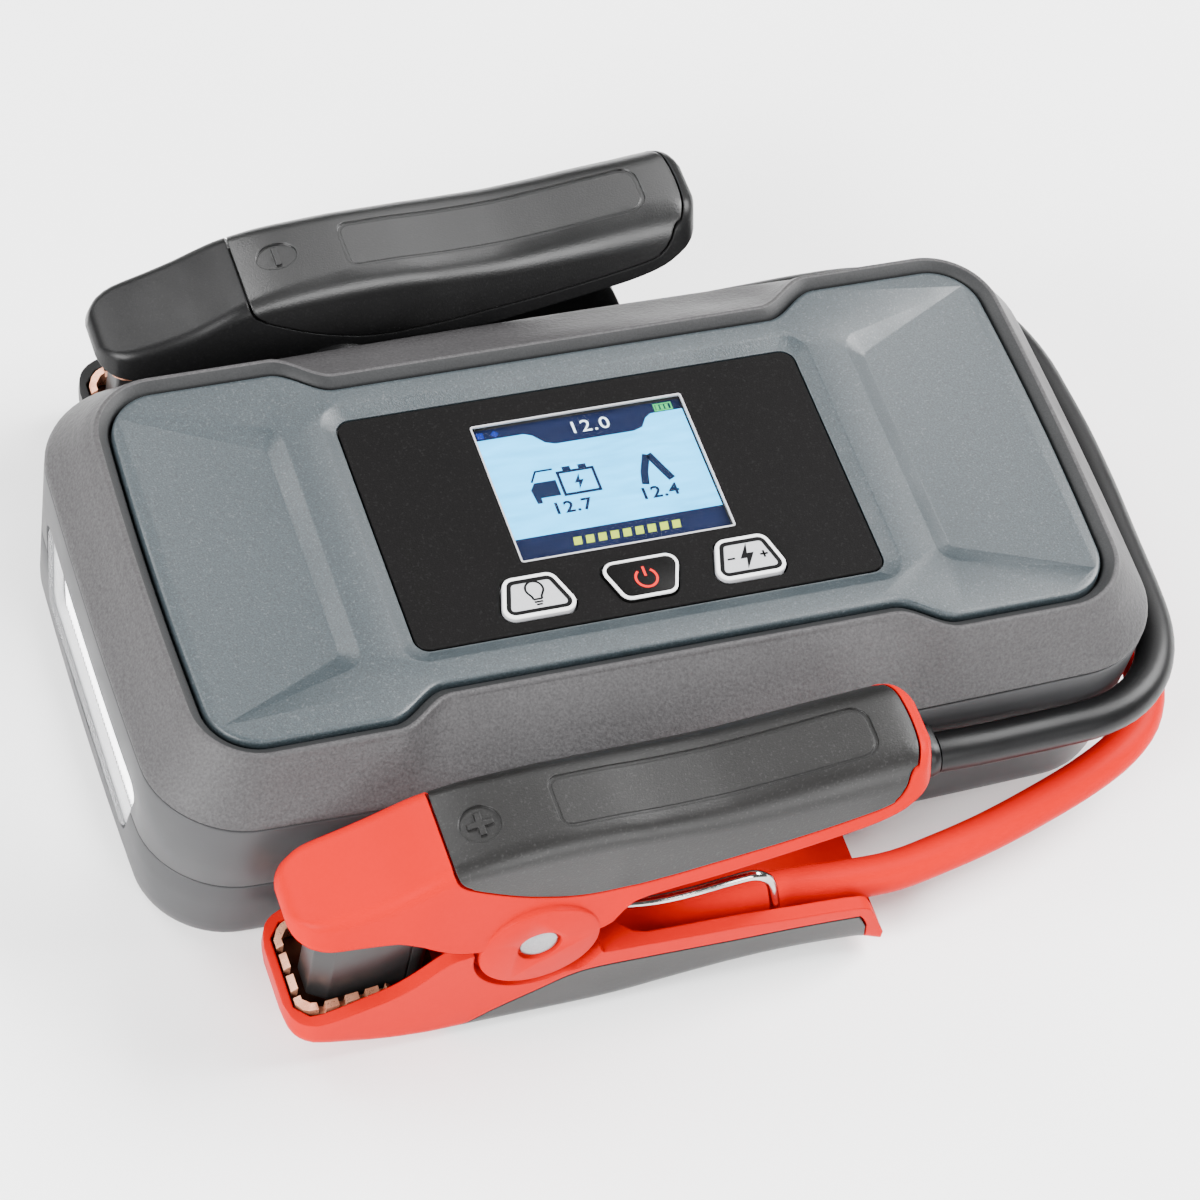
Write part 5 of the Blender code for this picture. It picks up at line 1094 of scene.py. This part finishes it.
def build_clamp(pre, sgn, plastic, grip_mat, lead_y):
    yc = sgn * CLAMP_Y
    upper_body = pre + "_upper"
    # upper half
    core = make("core", up_loft(yc, GRIP_T + GAP, 6.0, -60), None)
    zone = make("zone", prism(up_zone(0.0, 0.0), yc - 14, yc + 14, "xz"), None)
    carve(zone, [(up_end(yc, 0.0), "INTERSECT"), (core, "DIFFERENCE")])
    upper = make(pre + "_shell_upper", up_loft(yc), plastic, 32)
    ear = turned("y", (PIV_X, PIV_Z), [(yc - CL_HW, BOSS_R - 0.45), (yc - CL_HW + 0.12, BOSS_R - 0.15), (yc - CL_HW + 0.4, BOSS_R), (yc + CL_HW - 0.4, BOSS_R), (yc + CL_HW - 0.12, BOSS_R - 0.15), (yc + CL_HW, BOSS_R - 0.45)], 96)
    hollow = [(-68.5, 4.0, 2.2, 8, 31.2, 0.6), (-67.4, 5.9, 3.9, 8, 31.8, 0.8), (-65.6, 7.1, 5.0, 8, 32.5, 1.0), (-63.0, 7.6, 5.5, 8, 33.3, 1.1), (-60, 8.0, 5.9, 8, 34.2, 1.2), (-55, 8.5, 6.1, 8, 36.3, 1.4),
              (-48, 8.8, 6.2, 8, 39.9, 1.4), (-41, 8.8, 6.2, 8, 41.4, 1.6), (-28, 8.8, 6.2, 8, 42.8, 1.6), (-12, 8.8, 6.2, 8, 42.8, 1.6), (5, 8.8, 6.3, 8, 44.0, 1.6),
              (20.0, 8.6, 5.9, 8, 45.9, 1.6), (25.0, 8.2, 5.3, 8, 46.4, 1.6), (27.0, 7.4, 4.8, 8, 46.6, 1.4), (28.8, 5.8, 3.8, 8, 46.8, 1.0)]
    rings = []
    for x, w, wt, zb, zt, r in hollow:
        sec = up_section(x, yc, w, wt, 30.0, zt, r, seg=5)
        rings.append([(x, yc - w, zb), (x, yc + w, zb)] + sec[1:] + [sec[0]])
    steps = [(ear, "UNION"), (loft(rings), "DIFFERENCE"), (zone, "DIFFERENCE"), (cylinder("y", (PIV_X, PIV_Z), RIVET_R + 0.35, yc - 13, yc + 13, 32), "DIFFERENCE")]
    for s in (-1, 1):
        sink = turned("y", (PIV_X, PIV_Z), [(yc + s * 10.2, 3.5), (yc + s * 10.9, 3.55), (yc + s * 11.0, 3.75), (yc + s * 13, 3.9)], 48)
        steps.append((sink, "DIFFERENCE"))
    carve(upper, steps, 32)
    put(upper, upper_body, pre + "_upper_half")

    # soft grip
    grip = make(pre + "_grip_upper", up_loft(yc, x_from=-50), grip_mat, 32)
    steps = [(prism(up_zone(0.35, 0.36), yc - 14, yc + 14, "xz"), "INTERSECT"), (up_end(yc, 0.4), "INTERSECT"), (up_loft(yc, GRIP_T, 6.0, -60), "DIFFERENCE")]
    # recessed panel with rounded ends, and the polarity mark in a round recess
    px, pw, pc = -3.0, 4.9, yc - 0.4
    panel = make("panel", prism(rounded_poly([(px - 26.0, pc - pw + 0.2), (px + 25.6, pc - pw + 0.2), (px + 25.6, pc + pw - 0.2), (px - 26.0, pc + pw - 0.2)], [2.0, 3.0, 3.0, 2.0], 10), 30, 60, "xy"), None)
    carve(panel, [(up_loft(yc, 0.32, 6.0, -60), "DIFFERENCE")])
    steps.append((panel, "DIFFERENCE"))
    inner = make("inner", prism(rounded_poly([(px - 25.4, pc - pw + 0.8), (px + 25.0, pc - pw + 0.8), (px + 25.0, pc + pw - 0.8), (px - 25.4, pc + pw - 0.8)], [1.5, 2.5, 2.5, 1.5], 10), 30, 60, "xy"), None)
    carve(inner, [(up_loft(yc, 0.18, 6.0, -60), "INTERSECT"), (up_loft(yc, 0.9, 6.0, -60), "DIFFERENCE")])
    steps.append((inner, "UNION"))
    mx, my, ra, rb = (-40.6, yc - 0.6, 3.2, 3.2) if sgn < 0 else (-39.8, yc + 0.5, 3.35, 2.65)
    mark = make("mark", prism([(mx + (u - mx) * ra, my + (v - my) * rb) for u, v in circle(mx, my, 1.0, 64)], 30, 60, "xy"), None)
    if sgn < 0:
        sign = [(box(mx - 2.0, mx + 2.0, my - 0.5, my + 0.5, 29, 61), "DIFFERENCE"), (box(mx - 0.5, mx + 0.5, my - 2.0, my + 2.0, 29, 61), "DIFFERENCE")]
    else:
        sign = [(box(mx - 0.45, mx + 0.45, my - 1.8, my + 1.8, 29, 61), "DIFFERENCE")]
    carve(mark, sign + [(up_loft(yc, 0.4, 6.0, -60), "DIFFERENCE")])
    steps.append((mark, "DIFFERENCE"))
    carve(grip, steps, 32)
    put(grip, upper_body, pre + "_upper_grip")

    # lower half
    lcore = make("lcore", low_loft(yc, GRIP_T + GAP, 8.0), None)
    lz = make("lz", prism(low_zone(0.0, 0.0), yc - 14, yc + 14, "xz"), None)
    carve(lz, [(lcore, "DIFFERENCE")])
    lower = make(pre + "_shell_lower", low_loft(yc), plastic, 32)
    steps = [(tray(yc, [(-67.9, 6.4, 8.2, 40, 0.8), (-66.7, 8.5, 7.4, 40, 1.0), (-63.6, 9.0, 6.4, 40, 1.0), (-58, 8.8, 5.4, 40, 1.0), (-47.5, 8.6, 5.0, 40, 1.0), (-42.5, 8.6, 5.0, 40, 1.0)]), "DIFFERENCE"),
             (tray(yc, [(-42.6, 5.8, 5.0, 40, 1.0), (-18.4, 5.8, 3.2, 40, 1.0), (-15.4, 5.8, 3.2, 40, 1.0)], 8), "DIFFERENCE"),
             (tray(yc, [(-15.8, 5.9, 3.4, 40, 1.0), (-12.6, 8.6, 3.6, 40, 1.4), (-8, 8.6, 4.2, 40, 1.4), (-2, 8.6, 5.0, 40, 1.4), (4.0, 8.6, 5.6, 40, 1.4), (12.0, 8.6, 6.0, 40, 1.4), (25.6, 8.6, 5.6, 40, 1.4), (33.0, 8.6, 5.4, 40, 1.4)]), "DIFFERENCE")]
    key = [(-42.4, 40)]
    for k in range(0, 49):
        a = 170 + 3.4 * k
        r = BOSS_R + 0.9 if a < 298 else BOSS_R + 0.9 + (12.3 - BOSS_R - 0.9) * ease((a - 298) / 16.0)
        if a > 330:
            break
        key.append((PIV_X + r * math.cos(math.radians(a)), PIV_Z + r * math.sin(math.radians(a))))
    key += [(PIV_X + 12.6, PIV_Z - 1.6), (PIV_X + 14.0, PIV_Z + 1.5), (PIV_X + 16.5, 40)]
    for s in (-1, 1):
        steps.append((prism(key, *sorted((yc + s * 8.45, yc + s * 12)), "xz"), "DIFFERENCE"))
    steps += [(lz, "DIFFERENCE"), (cylinder("y", (PIV_X, PIV_Z), RIVET_R + 0.35, yc - 13, yc + 13, 32), "DIFFERENCE")]
    carve(lower, steps, 32)
    put(lower, "housing", pre + "_lower_half")

    lgrip = make(pre + "_grip_lower", low_loft(yc, x_from=-50), grip_mat, 32)
    carve(lgrip, [(prism(low_zone(0.5, 0.32), yc - 14, yc + 14, "xz"), "INTERSECT"), (low_loft(yc, GRIP_T, 8.0), "DIFFERENCE")], 32)
    put(lgrip, "housing", pre + "_lower_grip")

    # copper jaws
    lj = make(pre + "_plate_lower", tray(yc, [(-67.5, 5.9, 8.9, 10.8, 0.6), (-66.3, 7.9, 8.1, 11.5, 0.8), (-65.0, 8.3, 7.6, 12.1, 0.8), (-63.4, 8.6, 7.0, 12.4, 0.8), (-60.0, 8.5, 6.3, 12.9, 0.8), (-56.0, 8.35, 5.8, 13.5, 0.8), (-53.4, 8.25, 5.6, 13.9, 0.8), (-52.2, 8.2, 5.5, 12.0, 0.8), (-50.5, 8.2, 5.5, 11.2, 0.8), (-43.2, 8.2, 5.5, 8.4, 0.8)], 0.8), M_COPPER)
    steps = [(tray(yc, [(-66.4, 5.6, 9.6, 30, 0.4), (-65.5, 6.8, 9.0, 30, 0.4), (-63.2, 7.3, 8.1, 30, 0.4), (-58, 7.2, 7.1, 30, 0.4), (-50.5, 7.1, 6.7, 30, 0.4), (-40.0, 7.1, 6.7, 30, 0.4)], 1.0), "DIFFERENCE")]
    slots = []
    for i in range(4):
        x, zr = -63.9 + 3.2 * i, 10.9 + 0.55 * i
        slots.append(loft([[(x - w, yc - 12, z), (x + w, yc - 12, z), (x + w, yc + 12, z), (x - w, yc + 12, z)] for z, w in ((zr, 0.5), (zr + 3.2, 0.75))]))
    for j in range(3):
        y = yc - 4.25 + 4.0 * j
        slots.append(loft([[(-70, y - w, z), (-65.0, y - w, z), (-65.0, y + w, z), (-70, y + w, z)] for z, w in ((9.6, 0.45), (12.6, 0.75))]))
    for g in slots:
        steps.append((g, "DIFFERENCE"))
    carve(lj, steps, 25)
    # painted shade on the lower plate's faces below the tooth roots
    tarnish_and_shade(lj, lambda c: c.z < 9.9)
    put(lj, "housing", pre + "_lower_jaw")
    uj = make(pre + "_plate_upper", hood(yc, [(-68.1, 3.5, 2.3, 26.3, 30.5, 0.6), (-66.9, 5.3, 3.8, 26.4, 31.2, 0.6), (-65.2, 6.5, 4.6, 26.8, 31.8, 0.8), (-62.6, 7.1, 5.1, 27.1, 32.7, 0.8), (-60, 7.5, 5.4, 27.2, 33.6, 0.8), (-54.5, 7.9, 5.6, 27.6, 35.8, 0.8), (-47.5, 8.2, 5.7, 29.6, 39.2, 0.8)], 1.0), M_COPPER)
    steps = [(hood(yc, [(-66.9, 3.1, 1.8, 10, 29.4, 0.4), (-65.8, 4.6, 3.0, 10, 30.0, 0.4), (-64.2, 5.5, 3.6, 10, 30.6, 0.4), (-60, 6.4, 4.2, 10, 32.4, 0.4), (-54.5, 6.7, 4.4, 10, 34.6, 0.4), (-44, 6.9, 4.6, 10, 39.4, 0.4)], 1.0), "DIFFERENCE")]
    for i in range(6):
        x = -64.2 + 3.2 * i
        steps.append((loft([[(x - w, yc - 12, z), (x + w, yc - 12, z), (x + w, yc + 12, z), (x - w, yc + 12, z)] for z, w in ((25.0, 0.7), (28.2, 0.35))]), "DIFFERENCE"))
    for j in range(3):
        y = yc - 4.0 + 4.0 * j
        steps.append((loft([[(-70, y - w, z), (-65.8, y - w, z), (-65.8, y + w, z), (-70, y + w, z)] for z, w in ((25.0, 0.7), (28.2, 0.35))]), "DIFFERENCE"))
    carve(uj, steps, 25)
    # painted shade on the upper plate's faces above the tooth roots
    tarnish_and_shade(uj, lambda c: c.z > 28.6)
    put(uj, upper_body, pre + "_upper_jaw")

    # rivet with domed heads
    head = [(0.0, 0.3), (0.05, 0.9), (0.16, 1.6), (0.34, 2.3), (0.55, 2.8), (0.72, 3.02), (0.8, 3.1), (0.95, 3.1)]
    steps_r = [(yc - 11.4 + d, r) for d, r in head] + [(yc - 10.45, RIVET_R), (yc + 10.45, RIVET_R)] + [(yc + 11.4 - d, r) for d, r in reversed(head)]
    steps_r = [(max(min(p, yc + 11.2), yc - 11.2), r) for p, r in steps_r]
    rv = make(pre + "_rivet", turned("y", (PIV_X, PIV_Z), [(yc - 11.2, 0.3)] + [(yc - 11.2 + 0.75 * (r / 3.1) ** 2.6, r) for r in (0.9, 1.5, 2.1, 2.6, 2.9)] + [(yc - 10.45, 3.1), (yc - 10.44, RIVET_R), (yc + 10.44, RIVET_R), (yc + 10.45, 3.1)] + [(yc + 11.2 - 0.75 * (r / 3.1) ** 2.6, r) for r in (2.9, 2.6, 2.1, 1.5, 0.9)] + [(yc + 11.2, 0.3)], 48), M_STEEL, 40)
    put(rv, "housing", pre + "_pivot_rivet")

    # spring: coil on the rivet, one leg under each handle
    cr, turns = 4.3, 2.5
    pts = [(11.8, yc - 7.5, 7.4), (11.6, yc - 7.5, 9.4), (11.2, yc - 7.5, 12.0), (10.6, yc - 7.5, 15.0), (9.8, yc - 7.5, 18.0), (8.9, yc - 7.5, 20.9), (7.6, yc - 7.5, 23.2), (5.0, yc - 7.5, 24.9), (1.6, yc - 7.4, 24.5), (-4.2, yc - 7.0, 22.8), (-10.0, yc - 6.4, 21.4), (-15.4, yc - 5.2, 20.2), (-21.0, yc - 3.9, 19.2), (-25.6, yc - 3.3, 18.4)]
    for k in range(int(turns * 20) + 1):
        a = math.radians(-76) - 2 * math.pi * k / 20.0
        pts.append((PIV_X + cr * math.cos(a), yc - 3.0 + 6.0 * k / (turns * 20), PIV_Z + cr * math.sin(a)))
    pts += [(-25.6, yc + 3.4, 28.6), (-20.5, yc + 4.2, 31.2), (-13.0, yc + 5.2, 34.6), (-4.0, yc + 5.4, 38.0), (6.0, yc + 5.4, 41.0), (13.0, yc + 5.4, 42.6)]
    line, _ = spline3(pts, 0.8)
    sp = tube_mesh(pre + "_wire", line, 0.85, 16, M_CHROME)
    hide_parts(pre + "_spring")
    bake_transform(sp)

    # crimp at the lead's end, with two pinched bands
    cs = [(x - 3.4, r) for x, r in ((-20.6, 1.7), (-20.4, 1.9), (-20.0, 2.7), (-19.8, 2.9), (-18.9, 2.9), (-18.6, 2.5), (-18.0, 2.5), (-17.7, 2.9), (-16.7, 2.9), (-16.4, 2.5), (-15.8, 2.5), (-15.5, 2.9), (-14.2, 2.9), (-13.9, 2.7), (-13.5, 2.2))]
    put(make(pre + "_crimp", turned("x", (lead_y, 7.2), cs, 32), M_COPPER, 30), "housing", pre + "_lead_crimp")


build_clamp("positive", -1, M_RED, M_GRIP, -57.8)
build_clamp("negative", 1, M_BLACKC, M_GRIP_B, 57.2)

# ---- pieces that stay as the frame has them, with their own finish ------------------
for n, mat in {"main_board": M_PCB, "power_board": M_PCB, "lamp_board": M_LEDBOARD, "cell_1": M_CELL, "cell_2": M_CELL, "cell_3": M_CELL, "cell_4": M_CELL,
               "cell_cradle": M_BLACKP, "relay": M_BLACKP, "positive_busbar": M_COPPER, "negative_busbar": M_COPPER, "light_switch": M_BLACKP, "power_switch": M_BLACKP,
               "start_switch": M_BLACKP, "case_screw_1": M_STEEL, "case_screw_2": M_STEEL, "case_screw_3": M_STEEL, "case_screw_4": M_STEEL}.items():
    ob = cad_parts[n]
    ob.data.materials.clear()
    ob.data.materials.append(mat)

# ---- floor and light ----------------------------------------------------------------
me = bpy.data.meshes.new("floor")
S = 3.0
me.from_pydata([(-S, -S, -0.0002), (S, -S, -0.0002), (S, S, -0.0002), (-S, S, -0.0002)], [], [(0, 1, 2, 3)])
floor_ob = bpy.data.objects.new("floor", me)
COL.objects.link(floor_ob)
m, nt, b = nodes_of("floor_paper")
tc = nt.nodes.new("ShaderNodeTexCoord")
n = noise(nt, tc.outputs["Object"], 8.0, 2.0)
r_ = ramp(nt, n.outputs["Fac"], [(0.2, (0.93, 0.93, 0.93)), (0.8, (0.95, 0.95, 0.95))])
link(nt, r_.outputs["Color"], b.inputs["Base Color"])
b.inputs["Roughness"].default_value = 0.9
b.inputs["Specular IOR Level"].default_value = 0.1
me.materials.append(m)

world = bpy.data.worlds.new("studio")
bpy.context.scene.world = world
world.use_nodes = True
bg = world.node_tree.nodes["Background"]
bg.inputs["Color"].default_value = (1.0, 1.0, 1.0, 1)
bg.inputs["Strength"].default_value = 0.11


def area(name, loc, target, size, power, color=(1, 1, 1), size_y=None):
    ld = bpy.data.lights.new(name, "AREA")
    ld.energy = power
    ld.color = color
    ld.size = size
    if size_y:
        ld.shape = "RECTANGLE"
        ld.size_y = size_y
    lo = bpy.data.objects.new(name, ld)
    COL.objects.link(lo)
    d = Vector(target) - Vector(loc)
    lo.location = loc
    lo.rotation_euler = d.to_track_quat("-Z", "Y").to_euler()
    return lo


def around(azimuth, elevation, distance):
    u, v = math.radians(azimuth), math.radians(elevation)
    return (distance * math.sin(u) * math.cos(v), -distance * math.cos(u) * math.cos(v), distance * math.sin(v))


area("right", around(95, 45, 1.2), (0, 0, 0.02), 0.7, 50.0)
area("front_left", around(-64, 28, 1.2), (0, 0, 0.02), 0.6, 44.0)
area("front", around(10, 25, 1.2), (0, 0, 0.02), 0.6, 14.0)
area("rear_left", around(-140, 45, 1.2), (0, 0, 0.02), 0.6, 13.0)
area("rear", around(150, 50, 1.3), (0, 0, 0.02), 0.8, 8.0)

bpy.context.view_layer.update()
